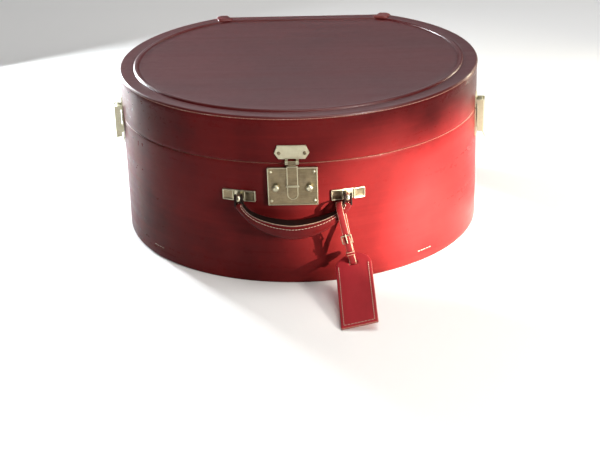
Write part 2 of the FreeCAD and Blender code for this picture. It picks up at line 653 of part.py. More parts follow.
def grip_frames():
    line = whole_line(GRIP_POINTS)
    halves = GRIP_HALF[:-1] + list(reversed(GRIP_HALF))
    curve = Part.BSplineCurve()
    curve.interpolate(line)
    frames = []
    for point, (half_t, half_w) in zip(line, halves):
        along = curve.tangent(curve.parameter(point))[0]
        across = V(0, -1, 0)
        across = (across - along * across.dot(along)).normalize()
        outward = across.cross(along).normalize()
        if outward.z > 0.2:
            outward = outward * -1
        if abs(outward.z) <= 0.2 and outward.x * point.x < 0:
            outward = outward * -1
        frames.append((point, across, outward, half_t, half_w))
    return frames


def grip_section(frame):
    """D-shaped: flat towards the fingers' gap, full and round on the outside."""
    point, across, outward, half_t, half_w = frame
    shape = [(-1.0, 0.0), (-1.0, 0.62), (-0.82, 0.93), (-0.35, 1.0), (0.3, 0.93), (0.76, 0.62), (1.0, 0.0)]
    ring = shape + [(n, -w) for n, w in reversed(shape[1:-1])]
    points = [point + outward * (n * half_t) + across * (w * half_w) for n, w in ring]
    curve = Part.BSplineCurve()
    curve.interpolate(Points=points, PeriodicFlag=True)
    return Part.Wire(curve.toShape())


def band_section(frame, low, high, half):
    point, across, outward = frame[:3]
    corners = [(low, -half), (low, half), (high, half), (high, -half)]
    points = [point + outward * n + across * w for n, w in corners]
    return Part.makePolygon(points + [points[0]])


def make_handle():
    frames = grip_frames()
    grip = Part.makeLoft([grip_section(f) for f in frames], True, False)
    strip_sections = []
    for f in frames:
        half_t, half_w = f[3], f[4]
        strip_sections.append(band_section(f, -half_t - GRIP_STRIP_PROUD,
                                           -half_t - GRIP_STRIP_PROUD + GRIP_STRIP_T,
                                           half_w * GRIP_STRIP_HALF_W))
    strip = Part.makeLoft(strip_sections, True, False)
    core = Part.makeLoft([band_section(f, -CORE_T / 2, CORE_T / 2, CORE_W / 2) for f in frames], True, False)
    ears, pins = [], []
    end = frames[-1][0]
    for side in (-1, 1):
        for inner in (-1, 1):
            near = LUG_W / 2 + GAP
            x0, x1 = sorted((side * HANDLE_HALF + inner * near, side * HANDLE_HALF + inner * (near + EAR_T)))
            ring = rod_x(EAR_R, x0, x1, HANDLE_PIVOT_Y, HANDLE_PIVOT_Z)
            neck = box(x0, x1, HANDLE_PIVOT_Y - EAR_R, HANDLE_PIVOT_Y + EAR_R, end.z, HANDLE_PIVOT_Z)
            ear = fused(ring, neck)
            ears.append(ear.cut(rod_x(HANDLE_PIN_R, x0 - 1, x1 + 1, HANDLE_PIVOT_Y, HANDLE_PIVOT_Z)))
        half = LUG_W / 2 + GAP + EAR_T
        x0, x1 = side * HANDLE_HALF - half, side * HANDLE_HALF + half
        pins.append(rod_x(HANDLE_PIN_R, x0, x1, HANDLE_PIVOT_Y, HANDLE_PIVOT_Z))
    return {
        "handle_grip": grip.cut([strip, core]),
        "handle_underside": strip,
        "handle_core": core,
        "handle_ears": group([ear.cut([grip, strip]) for ear in ears]),
        "handle_pins": group(pins),
    }


# ---------------------------------------------------------------- side latches
def make_latch():
    """Built at the front of the wall; each side gets a turned copy."""
    pin_y = FRONT_Y - LATCH_PIN_PROUD
    face_y = FRONT_Y - LATCH_FACE_PROUD
    half = LATCH_W / 2
    half_p = LATCH_PLATE_W / 2
    knuckle_half = half - LATCH_FLANGE_T - GAP - 2.4

    lid_outline = [(-half_p, LID_BOTTOM + 0.8), (half_p, LID_BOTTOM + 0.8),
                   (half_p, LATCH_PLATE_TOP_Z - LATCH_PLATE_POINT), (0, LATCH_PLATE_TOP_Z),
                   (-half_p, LATCH_PLATE_TOP_Z - LATCH_PLATE_POINT)]
    lid_plate = wall_plate(lid_outline, LATCH_PLATE_T)
    ears = []
    for side in (-1, 1):
        x0, x1 = sorted((side * (knuckle_half + GAP), side * (knuckle_half + GAP + 2.2)))
        ears.append(rod_x(LATCH_BARREL_R, x0, x1, pin_y, LATCH_PIN_Z))
        ears.append(box(x0, x1, pin_y, FRONT_Y + 1, LATCH_PIN_Z - LATCH_BARREL_R, LATCH_PIN_Z + LATCH_BARREL_R))
    bore = rod_x(LATCH_PIN_R + BORE_GAP, -20, 20, pin_y, LATCH_PIN_Z)
    lid_plate = seated(fused(lid_plate, *ears)).cut(bore)

    pin = rod_x(LATCH_PIN_R, -half - 0.6, half + 0.6, pin_y, LATCH_PIN_Z)

    web = box(-half, half, face_y, face_y + LATCH_WEB_T, LATCH_FLARE_Z, LATCH_PIN_Z)
    flange_back = FRONT_Y - LATCH_PLATE_T - 1.1
    flanges = [box(*sorted((s * half, s * (half - LATCH_FLANGE_T))), face_y, flange_back,
                   LATCH_FLARE_Z, LATCH_PIN_Z + LATCH_BARREL_R) for s in (-1, 1)]
    knuckle = rod_x(LATCH_BARREL_R, -knuckle_half, knuckle_half, pin_y, LATCH_PIN_Z)
    bridge = box(-knuckle_half, knuckle_half, face_y, pin_y, LATCH_PIN_Z - 1.2, LATCH_PIN_Z + 0.4)
    lip_points = [V(-half, face_y, LATCH_FLARE_Z), V(-half, face_y + LATCH_WEB_T, LATCH_FLARE_Z),
                  V(-half, face_y + LATCH_WEB_T - LATCH_FLARE, LATCH_LEVER_FOOT_Z),
                  V(-half, face_y - LATCH_FLARE, LATCH_LEVER_FOOT_Z)]
    lip = Part.Face(Part.makePolygon(lip_points + [lip_points[0]])).extrude(V(LATCH_W, 0, 0))
    lever = fused(web, lip, knuckle, bridge, *flanges).cut(bore)

    base_outline = [(-half_p, BODY_TOP - 0.8), (half_p, BODY_TOP - 0.8),
                    (half_p, LATCH_BASE_BOTTOM_Z + LATCH_PLATE_POINT), (0, LATCH_BASE_BOTTOM_Z),
                    (-half_p, LATCH_BASE_BOTTOM_Z + LATCH_PLATE_POINT)]
    base = wall_plate(base_outline, LATCH_PLATE_T)
    stud = box(-LATCH_STUD_W / 2, LATCH_STUD_W / 2, face_y + LATCH_WEB_T + 0.9, FRONT_Y,
               LATCH_STUD_Z - LATCH_STUD_H / 2, LATCH_STUD_Z + LATCH_STUD_H / 2)
    stud = round_edges(stud, 1.2, lambda e: e.BoundBox.YMax < face_y + LATCH_WEB_T + 1)
    base = seated(fused(base, stud))
    rivets = [dome(1.5, 0.8, x, FRONT_Y - LATCH_PLATE_T + 0.1, z) for x, z in
              ((-4, LATCH_STUD_Z + 12), (4, LATCH_STUD_Z + 12), (0, LATCH_BASE_BOTTOM_Z + 6))]
    return {"latch_lid_plate": lid_plate, "latch_pin": pin, "latch_lever": lever,
            "latch_base": base, "latch_rivets": seated(group(rivets)).cut(base)}


def place_latches():
    parts = {}
    single = make_latch()
    for name, azimuth in (("left", -LATCH_AZ), ("right", LATCH_AZ)):
        for key in ("latch_lid_plate", "latch_lever", "latch_base"):
            parts[key + "_" + name] = turned(single[key], azimuth)
    for key, group_name in (("latch_pin", "latch_pins"), ("latch_rivets", "latch_rivets")):
        copies = [turned(single[key], a) for a in (-LATCH_AZ, LATCH_AZ)]
        parts[group_name] = group([s for c in copies for s in c.Solids])
    return parts


# ---------------------------------------------------------------- luggage tag and its strap
ACROSS = V(math.cos(TILT), 0, math.sin(TILT))
UPWARD = V(-math.sin(TILT), 0, math.cos(TILT))
INWARD = V(0, 1, 0)
LOOP_MIDDLE = GRIP_POINTS[2]
SLOT = LOOP_MIDDLE - UPWARD * STRAP_RISE - INWARD * STRAP_LEAN


def strap_point(inward, rise, across=0.0):
    return SLOT + INWARD * inward + UPWARD * rise + ACROSS * across


def tag_slope():
    """How steeply the tag leans so that its lower left corner just clears the floor."""
    corner_drop = TAG_W / 2 * math.sin(TILT)
    fall = SLOT.z - corner_drop - TAG_LAYER_T - TAG_FLOOR_GAP
    return math.asin(fall / ((TAG_LEN - TAG_SLOT_DROP) * math.cos(TILT)))


def ribbon(points, thickness, width):
    """A strap of even thickness that follows points (inward, rise) in the strap's own plane."""
    curve = Part.BSplineCurve()
    curve.interpolate([V(a, b, 0) for a, b in points])
    first, last = curve.FirstParameter, curve.LastParameter
    count = 6 * len(points)
    sides = {-1: [], 1: []}
    for i in range(count + 1):
        t = first + (last - first) * i / count
        tangent = curve.tangent(t)[0]
        normal = V(-tangent.y, tangent.x, 0).normalize()
        for side in (-1, 1):
            p = curve.value(t) + normal * (side * thickness / 2)
            sides[side].append(strap_point(p.x, p.y, -width / 2))
    edges = []
    for side in (-1, 1):
        line = Part.BSplineCurve()
        line.interpolate(sides[side])
        edges.append(line.toShape())
    edges.append(Part.makeLine(sides[-1][0], sides[1][0]))
    edges.append(Part.makeLine(sides[-1][-1], sides[1][-1]))
    return Part.Face(Part.Wire(Part.__sortEdges__(edges))).extrude(ACROSS * width)


def make_strap():
    slope = tag_slope()
    through = (math.sin(slope), -math.cos(slope))       # square to the tag, towards its underside
    side_step = (math.cos(slope), math.sin(slope))
    loop = (STRAP_LEAN, STRAP_RISE)
    half_gap = (STRAP_T + 0.2) / 2

    def slot_line(offset, reach):
        return (side_step[0] * offset + through[0] * reach, side_step[1] * offset + through[1] * reach)

    def on_loop(degrees):
        a = math.radians(degrees)
        return (loop[0] + STRAP_LOOP_R * math.cos(a), loop[1] + STRAP_LOOP_R * math.sin(a))

    front_foot = (-half_gap + 0.2, 6.0)
    front_top = on_loop(188)
    run = (front_top[0] - front_foot[0], front_top[1] - front_foot[1])
    run_len = math.hypot(*run)
    run = (run[0] / run_len, run[1] / run_len)
    out = (-run[1], run[0])

    def on_front(rise, offset):
        s = (rise - front_foot[1]) / run[1]
        return (front_foot[0] + run[0] * s + out[0] * offset, front_foot[1] + run[1] * s + out[1] * offset)

    billet_end = BUCKLE_RISE - BUCKLE_H / 2 - 0.2
    billet = ribbon([slot_line(-half_gap, 8.0), slot_line(-half_gap, 3.0), slot_line(-half_gap, -1.5),
                     on_front(6.0, 0.0), on_front(12.0, 0.0), on_front(18.0, 0.0),
                     on_front(billet_end, 0.0)], STRAP_T, STRAP_W)
    fold_at = on_front(BUCKLE_RISE - BUCKLE_H / 2 + 0.2, 0.0)
    fold = Part.makeCylinder(STRAP_T / 2 + BUCKLE_WIRE_R, STRAP_W, strap_point(*fold_at, -STRAP_W / 2), ACROSS)
    bar_a = strap_point(*fold_at, -BUCKLE_W / 2)
    bar = Part.makeCylinder(BUCKLE_WIRE_R, BUCKLE_W, bar_a, ACROSS)
    billet = fused(billet, fold).cut(bar)

    bulge = STRAP_T / 2 + BUCKLE_WIRE_R + STRAP_T / 2 + 0.25
    tongue = ribbon([on_front(7.5, STRAP_LAYER + 0.3), on_front(13.0, STRAP_LAYER),
                     on_front(19.0, STRAP_LAYER + 0.3), on_front(24.5, bulge),
                     on_front(30.0, STRAP_LAYER), on_front(39.0, 0.3), on_loop(190), on_loop(150),
                     on_loop(110), on_loop(70), on_loop(30), on_loop(-10), on_loop(-32),
                     (loop[0] * 0.62, 22.0), (loop[0] * 0.24, 9.0), slot_line(half_gap, -1.5),
                     slot_line(half_gap, 3.0), slot_line(half_gap, 8.0)], STRAP_T, STRAP_W)

    top_at = on_front(BUCKLE_RISE + BUCKLE_H / 2, STRAP_LAYER + STRAP_T + 0.1)
    corners = [strap_point(*fold_at, -BUCKLE_W / 2), strap_point(*top_at, -BUCKLE_W / 2),
               strap_point(*top_at, BUCKLE_W / 2), strap_point(*fold_at, BUCKLE_W / 2)]
    wires = []
    for i, corner in enumerate(corners):
        nxt = corners[(i + 1) % 4]
        wires.append(Part.makeCylinder(BUCKLE_WIRE_R, (nxt - corner).Length, corner, nxt - corner))
        wires.append(Part.makeSphere(BUCKLE_WIRE_R, corner))
    buckle = fused(wires[0], *wires[1:])

    prong_foot = strap_point(*on_front(BUCKLE_RISE - BUCKLE_H / 2 + 1.2, bulge + STRAP_T / 2 + 0.55))
    prong_tip = strap_point(*on_front(BUCKLE_RISE + BUCKLE_H / 2 + 1.2,
                                      STRAP_LAYER + STRAP_T + 0.1 + 2 * BUCKLE_WIRE_R - 0.1))
    prong = Part.makeCylinder(0.6, (prong_tip - prong_foot).Length, prong_foot, prong_tip - prong_foot)
    prong = fused(prong, Part.makeSphere(0.6, prong_foot), Part.makeSphere(0.6, prong_tip))
    stem_end = strap_point(*fold_at) + (prong_foot - strap_point(*fold_at)).normalize() * (BUCKLE_WIRE_R - 0.1)
    stem = Part.makeCylinder(0.6, (prong_foot - stem_end).Length, stem_end, prong_foot - stem_end)
    prong = fused(prong, stem).cut(buckle)

    keeper_low, keeper_high = on_front(11.4, -1.05), on_front(11.4, STRAP_LAYER + 1.15)
    keeper_w = STRAP_W / 2 + 0.3
    step = V(0, 0, 0) + UPWARD * run[1] + INWARD * run[0]
    a = strap_point(*keeper_low, -keeper_w)
    across_len = ACROSS * (2 * keeper_w)
    deep = strap_point(*keeper_high, -keeper_w) - a
    inner = Part.Face(Part.makePolygon([a, a + across_len, a + across_len + deep, a + deep, a]))
    lift = deep.normalize() * 1.0
    edge = ACROSS * 1.0
    deep = strap_point(*keeper_high, -keeper_w) - a
    b = a - edge - lift
    wide = across_len + edge * 2
    tall = deep + lift * 2
    outer = Part.Face(Part.makePolygon([b, b + wide, b + wide + tall, b + tall, b]))
    keeper = outer.extrude(step * 3.6).cut(inner.extrude(step * 3.6))

    rivet_at = strap_point(*slot_line(0, 6.2))
    axis = INWARD * side_step[0] + UPWARD * side_step[1]
    shank = Part.makeCylinder(1.0, 2 * (STRAP_T + 0.1) + 0.8, rivet_at - axis * (STRAP_T + 0.5), axis)
    heads = [Part.makeCylinder(2.4, 0.8, rivet_at + axis * s * (STRAP_T + 0.1 + (0.0 if s > 0 else 0.8)), axis)
             for s in (-1, 1)]
    rivet = fused(shank, *heads)
    hole = Part.makeCylinder(1.6, 14, prong_foot + INWARD * 7, INWARD * -1)
    return {
        "strap_tongue": tongue.cut([rivet, buckle, prong, hole.common(tongue)]),
        "strap_billet": billet.cut([rivet, prong]),
        "strap_buckle": buckle,
        "strap_prong": prong,
        "strap_keeper": keeper,
        "strap_rivet": rivet,
    }


def tag_layer(low, high):
    """One leather layer of the tag, between two heights above its middle plane."""
    slope = tag_slope()
    along = INWARD * -math.cos(slope) + UPWARD * -math.sin(slope)
    upper = INWARD * -math.sin(slope) + UPWARD * math.cos(slope)
    start = SLOT - along * TAG_SLOT_DROP + upper * low

    def at(a, b):
        return start + ACROSS * a + along * b

    half = TAG_W / 2
    edges = [
        Part.Arc(at(-half, TAG_SHOULDER), at(0, 0), at(half, TAG_SHOULDER)).toShape(),
        Part.makeLine(at(half, TAG_SHOULDER), at(half, TAG_LEN)),
        Part.makeLine(at(half, TAG_LEN), at(-half, TAG_LEN)),
        Part.makeLine(at(-half, TAG_LEN), at(-half, TAG_SHOULDER)),
    ]
    layer = Part.Face(Part.Wire(edges)).extrude(upper * (high - low))
    half_s = TAG_SLOT_W / 2
    z0, z1 = TAG_SLOT_DROP - TAG_SLOT_H / 2, TAG_SLOT_DROP + TAG_SLOT_H / 2
    corners = [at(-half_s, z0), at(half_s, z0), at(half_s, z1), at(-half_s, z1)]
    slot = Part.Face(Part.makePolygon(corners + [corners[0]]))
    slot.translate(upper * -5)
    return layer.cut(slot.extrude(upper * 10))


def make_tag():
    return {
        "tag_front": tag_layer(0.0, TAG_LAYER_T),
        "tag_back": tag_layer(-TAG_LAYER_T, 0.0),
    }


# ---------------------------------------------------------------- the whole box
def make_parts():
    parts = {}
    parts.update(make_body())
    parts["thread_marks"] = group([thread_mark(MARK_LEFT_AZ), thread_mark(MARK_RIGHT_AZ)])
    parts.update(make_patches())
    parts.update(make_lid())
    parts.update(make_corner_tabs())
    parts.update(make_hinges())
    parts.update(make_lock_plate())
    parts.update(make_lock_case())
    parts.update(make_lock_slide(-1))
    parts.update(make_lock_slide(1))
    parts.update(make_hasp())
    parts.update(make_hasp_plate())
    mount = make_handle_mount()
    parts["handle_mount_right"] = mount
    parts["handle_mount_left"] = mirrored(mount)
    parts.update(make_handle())
    parts.update(place_latches())
    parts.update(make_strap())
    parts.update(make_tag())
    return parts


def main():
    os.makedirs("parts", exist_ok=True)
    parts = make_parts()
    for name, shape in sorted(parts.items()):
        shape.exportStep("parts/" + name + ".step")
        print(name, len(shape.Solids), round(shape.Volume, 1), shape.isValid())
    print(len(parts), "nodes")


main()
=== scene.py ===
"""Dresses the frame of a round hat box: glazed leather, worn brass, thread, suede and the stage."""

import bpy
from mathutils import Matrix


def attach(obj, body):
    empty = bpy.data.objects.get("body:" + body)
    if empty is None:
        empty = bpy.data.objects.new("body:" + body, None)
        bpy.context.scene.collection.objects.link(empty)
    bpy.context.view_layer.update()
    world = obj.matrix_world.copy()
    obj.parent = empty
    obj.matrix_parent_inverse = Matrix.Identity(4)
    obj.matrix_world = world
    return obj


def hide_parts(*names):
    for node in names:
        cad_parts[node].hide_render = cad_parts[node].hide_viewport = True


bl_info = {
    "name": "Round Leather Hat Box",
    "version": (1, 0, 0),
    "blender": (4, 5, 0),
    "location": "View3D > Sidebar > Hat Box",
    "description": "Leather, brass, thread and lining for a round hat box with a flat hinged back",
    "category": "Object",
}

import math

import bpy
from bpy.props import FloatProperty, FloatVectorProperty, PointerProperty
from mathutils import Matrix, Vector, noise

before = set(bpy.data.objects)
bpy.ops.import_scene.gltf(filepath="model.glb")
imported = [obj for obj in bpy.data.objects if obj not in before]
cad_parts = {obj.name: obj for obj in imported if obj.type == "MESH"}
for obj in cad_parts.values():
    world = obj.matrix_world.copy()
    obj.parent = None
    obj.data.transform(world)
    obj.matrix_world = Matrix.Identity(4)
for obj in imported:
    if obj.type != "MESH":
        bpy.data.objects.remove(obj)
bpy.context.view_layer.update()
MM = 0.001

# ------------------------------------------------------------------ sizes of the frame, in millimetres
RADIUS = 215.0
BACK_Y = 186.2
CORNER_R = 10.0
HEIGHT = 197.0
BODY_TOP = 143.95
LID_BOTTOM = 144.45
LEATHER_T = 1.5
WALL = 5.5
LINING_T = 1.0
FLOOR_TOP = 5.5           # top of the base board
LID_BOARD_BOTTOM = 191.5
LID_BOARD_TOP = 195.5
PAD_T = 4.0
LIP_BOTTOM = 118.2
LIP_TOP = 152.2
TOP_RIM_H = 3.0
BEAD_INSET = 17.0
BEAD_W = 6.6
BEAD_H = 2.0

HANDLE_HALF = 60.0
PIVOT_Y = -218.5
PIVOT_Z = 104.5
GRIP_LINE = [(60.3, -218.9, 98.8), (59.0, -219.8, 95.2), (52.6, -222.1, 88.2), (45.5, -223.6, 82.8),
             (35.5, -225.3, 77.2), (20.0, -226.7, 71.8), (0.0, -227.3, 68.9)]
GRIP_HALF = [(4.8, 6.2), (4.5, 6.2), (4.1, 6.3), (5.1, 7.5), (6.8, 8.5), (8.6, 9.4), (9.4, 9.8)]
GRIP_SHAPE = [(-1.0, 0.0), (-1.0, 0.62), (-0.82, 0.93), (-0.35, 1.0), (0.3, 0.93), (0.76, 0.62), (1.0, 0.0)]

LOCK_HALF_W = 27.5
LOCK_LOW = 96.0
LOCK_HIGH = 140.0
HASP_HALF_W = 6.2
HASP_FOOT = 103.4
HASP_TOP = 142.3
HASP_BAR_Z = 119.0
HASP_BAR_REACH = 7.35
MARK_Z = 13.55
MARK_SPANS = ((-51.9, -46.6), (40.1, 45.8))   # degrees round the front wall

TILT = math.radians(13.0)
STRAP_W = 7.0
STRAP_T = 1.3
STRAP_RISE = 55.0
STRAP_LEAN = 18.0
STRAP_LOOP_R = 11.8
STRAP_LAYER = 1.5
BUCKLE_RISE = 29.0
BUCKLE_H = 9.4
BUCKLE_WIRE_R = 0.75
TAG_W = 40.0
TAG_LEN = 111.5
TAG_LAYER_T = 1.3
TAG_SHOULDER = 19.5
TAG_SLOT_DROP = 16.0
TAG_SLOT_W = 9.6
TAG_SLOT_H = 6.5
TAG_FLOOR_GAP = 0.3

ACROSS = Vector((math.cos(TILT), 0, math.sin(TILT)))
UPWARD = Vector((-math.sin(TILT), 0, math.cos(TILT)))
INWARD = Vector((0, 1, 0))
SLOT = Vector(GRIP_LINE[2]) - UPWARD * STRAP_RISE - INWARD * STRAP_LEAN

ROUND_STEPS = 240
BEND_STEPS = 10
BACK_STEPS = 76


# ------------------------------------------------------------------ settings that a user may change
class HatBoxSizes(bpy.types.PropertyGroup):
    """Sizes of the trimmings."""
    stitch_length: FloatProperty(name="Stitch", description="Length of one stitch that shows",
                                 default=0.0027, unit="LENGTH", subtype="DISTANCE")
    stitch_gap: FloatProperty(name="Stitch gap", description="Space between two stitches",
                              default=0.0008, unit="LENGTH", subtype="DISTANCE")
    thread_radius: FloatProperty(name="Thread radius", description="Half the thickness of the waxed thread",
                                 default=0.00034, unit="LENGTH", subtype="DISTANCE")
    grain_pitch: FloatProperty(name="Grain pitch", description="Distance from pore to pore in the calf leather",
                               default=0.0009, unit="LENGTH", subtype="DISTANCE")
    wall_unevenness: FloatProperty(name="Wall unevenness", description="How far the glued leather departs from true",
                                   default=0.00016, unit="LENGTH", subtype="DISTANCE")
    quilt_pitch: FloatProperty(name="Quilt pitch", description="Side of one diamond in the padded linings",
                               default=0.042, unit="LENGTH", subtype="DISTANCE")
    quilt_puff: FloatProperty(name="Quilt puff", description="Height of a diamond above its seams",
                              default=0.0016, unit="LENGTH", subtype="DISTANCE")
    floor_reach: FloatProperty(name="Floor reach", description="Half the width of the pale floor",
                               default=4.0, unit="LENGTH", subtype="DISTANCE")
    lens: FloatProperty(name="Lens", description="Focal length of the camera in millimetres", default=86.51)


class HatBoxColours(bpy.types.PropertyGroup):
    """Colours of the finishes."""
    calf_deep: FloatVectorProperty(name="Calf, deep", description="Darkest tone of the glazed calf", size=3,
                                   subtype="COLOR", default=(0.042, 0.0032, 0.0035), min=0, max=1)
    calf_full: FloatVectorProperty(name="Calf, full", description="Main tone of the glazed calf", size=3,
                                   subtype="COLOR", default=(0.100, 0.0072, 0.0075), min=0, max=1)
    calf_rubbed: FloatVectorProperty(name="Calf, rubbed", description="Where hands have rubbed the calf", size=3,
                                     subtype="COLOR", default=(0.170, 0.0150, 0.0140), min=0, max=1)
    strip_dark: FloatVectorProperty(name="Strip", description="Black-brown leather inside the handle", size=3,
                                    subtype="COLOR", default=(0.012, 0.007, 0.006), min=0, max=1)
    tag_tone: FloatVectorProperty(name="Tag", description="Leather of the luggage tag", size=3,
                                  subtype="COLOR", default=(0.330, 0.0240, 0.0310), min=0, max=1)
    raw_edge: FloatVectorProperty(name="Raw edge", description="Cut edge of the leather", size=3,
                                  subtype="COLOR", default=(0.420, 0.240, 0.150), min=0, max=1)
    brass: FloatVectorProperty(name="Brass", description="Pale brass", size=3,
                               subtype="COLOR", default=(0.640, 0.620, 0.455), min=0, max=1)
    brass_dull: FloatVectorProperty(name="Brass, dulled", description="Brass where it has dulled", size=3,
                                    subtype="COLOR", default=(0.360, 0.285, 0.165), min=0, max=1)
    thread: FloatVectorProperty(name="Thread", description="Pale linen thread", size=3,
                                subtype="COLOR", default=(0.560, 0.430, 0.330), min=0, max=1)
    suede: FloatVectorProperty(name="Suede", description="Lining inside the box", size=3,
                               subtype="COLOR", default=(0.430, 0.330, 0.230), min=0, max=1)
    floor: FloatVectorProperty(name="Floor", description="Pale floor", size=3,
                               subtype="COLOR", default=(0.86, 0.86, 0.85), min=0, max=1)


def sizes():
    return bpy.context.scene.hat_box_sizes


def colours():
    return bpy.context.scene.hat_box_colours


# ------------------------------------------------------------------ shader helpers
class Shade:
    """One material, and short ways to add nodes to it."""

    def __init__(self, name):
        self.material = bpy.data.materials.new(name)
        self.material.use_nodes = True
        self.tree = self.material.node_tree
        self.shader = self.tree.nodes["Principled BSDF"]
        self.coords = self.tree.nodes.new("ShaderNodeTexCoord").outputs["Object"]

    def link(self, source, target):
        self.tree.links.new(source, target)

    def add(self, kind, **values):
        node = self.tree.nodes.new(kind)
        for key, value in values.items():
            setattr(node, key, value)
        return node

    def scaled(self, scale, turn=(0, 0, 0)):
        node = self.add("ShaderNodeMapping")
        node.inputs["Scale"].default_value = scale
        node.inputs["Rotation"].default_value = turn
        self.link(self.coords, node.inputs["Vector"])
        return node.outputs["Vector"]

    def cloud(self, scale, detail=4.0, rough=0.55, stretch=None, distort=0.0):
        node = self.add("ShaderNodeTexNoise")
        node.inputs["Scale"].default_value = scale
        node.inputs["Detail"].default_value = detail
        node.inputs["Roughness"].default_value = rough
        node.inputs["Distortion"].default_value = distort
        self.link(self.scaled(stretch) if stretch else self.coords, node.inputs["Vector"])
        return node.outputs["Fac"]

    def cells(self, scale, feature="F1", randomness=1.0):
        node = self.add("ShaderNodeTexVoronoi", feature=feature)
        node.inputs["Scale"].default_value = scale
        node.inputs["Randomness"].default_value = randomness
        self.link(self.coords, node.inputs["Vector"])
        return node.outputs["Distance"]

    def ramp(self, source, stops):
        node = self.add("ShaderNodeValToRGB")
        elements = node.color_ramp.elements
        while len(elements) < len(stops):
            elements.new(0.5)
        for element, (place, colour) in zip(elements, stops):
            element.position = place
            element.color = (*colour, 1.0)
        self.link(source, node.inputs["Fac"])
        return node.outputs["Color"]

    def span(self, source, low, high, to_low, to_high):
        node = self.add("ShaderNodeMapRange")
        for socket, value in zip(("From Min", "From Max", "To Min", "To Max"), (low, high, to_low, to_high)):
            node.inputs[socket].default_value = value
        self.link(source, node.inputs["Value"])
        return node.outputs["Result"]

    def sum(self, first, second, operation="ADD"):
        node = self.add("ShaderNodeMath", operation=operation)
        for socket, value in zip(node.inputs, (first, second)):
            if isinstance(value, (int, float)):
                socket.default_value = value
            else:
                self.link(value, socket)
        return node.outputs["Value"]

    def blend(self, amount, first, second, mode="MIX"):
        node = self.add("ShaderNodeMix", data_type="RGBA", blend_type=mode)
        if isinstance(amount, (int, float)):
            node.inputs["Factor"].default_value = amount
        else:
            self.link(amount, node.inputs["Factor"])
        for socket, value in ((node.inputs[6], first), (node.inputs[7], second)):
            if isinstance(value, tuple):
                socket.default_value = (*value, 1.0)
            else:
                self.link(value, socket)
        return node.outputs[2]

    def relief(self, height, depth, strength=1.0, under=None):
        node = self.add("ShaderNodeBump")
        node.inputs["Strength"].default_value = strength
        node.inputs["Distance"].default_value = depth
        self.link(height, node.inputs["Height"])
        if under is not None:
            self.link(under, node.inputs["Normal"])
        return node.outputs["Normal"]

    def finish(self, colour=None, rough=None, normal=None, **constants):
        if colour is not None:
            self.link(colour, self.shader.inputs["Base Color"])
        if rough is not None:
            self.link(rough, self.shader.inputs["Roughness"])
        if normal is not None:
            self.link(normal, self.shader.inputs["Normal"])
        for name, value in constants.items():
            self.shader.inputs[name.replace("_", " ")].default_value = value
        return self.material


def tuple3(colour):
    return tuple(colour[:3])


def mixed(first, second, share):
    return tuple(a + (b - a) * share for a, b in zip(first, second))


def calf_finish(name, deep, full, rubbed, gloss=0.30, streak=(3.0, 3.0, 70.0), glaze=0.05):
    """Glazed calf: cloudy dye, fine rubbed streaks, pores and faint scuffs."""
    s = Shade(name)
    pitch = sizes().grain_pitch
    dye = s.ramp(s.cloud(7.0, 5.0, 0.6), [(0.30, deep), (0.52, full), (0.78, mixed(full, rubbed, 0.45))])
    streaks = s.cloud(1.0, 6.0, 0.65, stretch=streak)
    dye = s.blend(s.span(streaks, 0.50, 0.75, 0.0, 0.40), dye, rubbed)
    mottle = s.cloud(130.0, 4.0, 0.7)
    dye = s.blend(s.span(mottle, 0.35, 0.75, 0.0, 0.22), dye, mixed(deep, full, 0.3))
    scuffs = s.cloud(1.0, 8.0, 0.75, stretch=(35.0, 35.0, 160.0), distort=0.8)
    dye = s.blend(s.span(scuffs, 0.72, 0.86, 0.0, 0.10), dye, rubbed)
    pores = s.cells(1.0 / pitch)
    creases = s.cells(0.55 / pitch, "DISTANCE_TO_EDGE")
    rough = s.sum(s.span(streaks, 0.3, 0.8, gloss - 0.05, gloss + 0.10), s.span(mottle, 0.3, 0.8, -0.03, 0.05))
    grain = s.relief(pores, 0.00004, 0.18)
    grain = s.relief(creases, 0.00004, 0.12, grain)
    grain = s.relief(s.cloud(55.0, 2.0, 0.5), 0.00015, 0.15, grain)
    return s.finish(dye, rough, grain, Coat_Weight=glaze * 0.4, Coat_Roughness=0.14, Specular_IOR_Level=glaze)


def raw_edge_finish(name, tone):
    """Cut, waxed edge of thick leather with its fibres."""
    s = Shade(name)
    fibres = s.cloud(1.0, 6.0, 0.7, stretch=(900.0, 900.0, 260.0))
    colour = s.ramp(fibres, [(0.25, mixed(tone, (0, 0, 0), 0.55)), (0.5, tone), (0.75, mixed(tone, (1, 1, 1), 0.25))])
    return s.finish(colour, s.span(fibres, 0.3, 0.7, 0.45, 0.7), s.relief(fibres, 0.0001, 0.5))


def brass_finish(name, bright, dull, brushed=(60.0, 60.0, 2200.0), worn=0.5):
    """Old pale brass: brushed lines, dull spots and brighter rubbed places."""
    s = Shade(name)
    lines = s.cloud(1.0, 3.0, 0.6, stretch=brushed)
    spots = s.cloud(95.0, 6.0, 0.72)
    fine = s.cloud(900.0, 3.0, 0.6)
    colour = s.ramp(spots, [(0.28, dull), (0.28 + 0.3 * worn, mixed(dull, bright, 0.6)), (0.75, bright)])
    colour = s.blend(s.span(lines, 0.45, 0.8, 0.0, 0.35), colour, mixed(bright, (1, 1, 0.9), 0.25))
    colour = s.blend(s.span(fine, 0.62, 0.8, 0.0, 0.6), colour, mixed(dull, (0, 0, 0), 0.35))
    rough = s.sum(s.span(spots, 0.3, 0.75, 0.44, 0.22), s.span(lines, 0.3, 0.8, -0.03, 0.08))
    normal = s.relief(lines, 0.00003, 0.25, s.relief(s.cloud(160.0, 2.0, 0.5), 0.0002, 0.25))
    return s.finish(colour, rough, normal, Metallic=1.0)


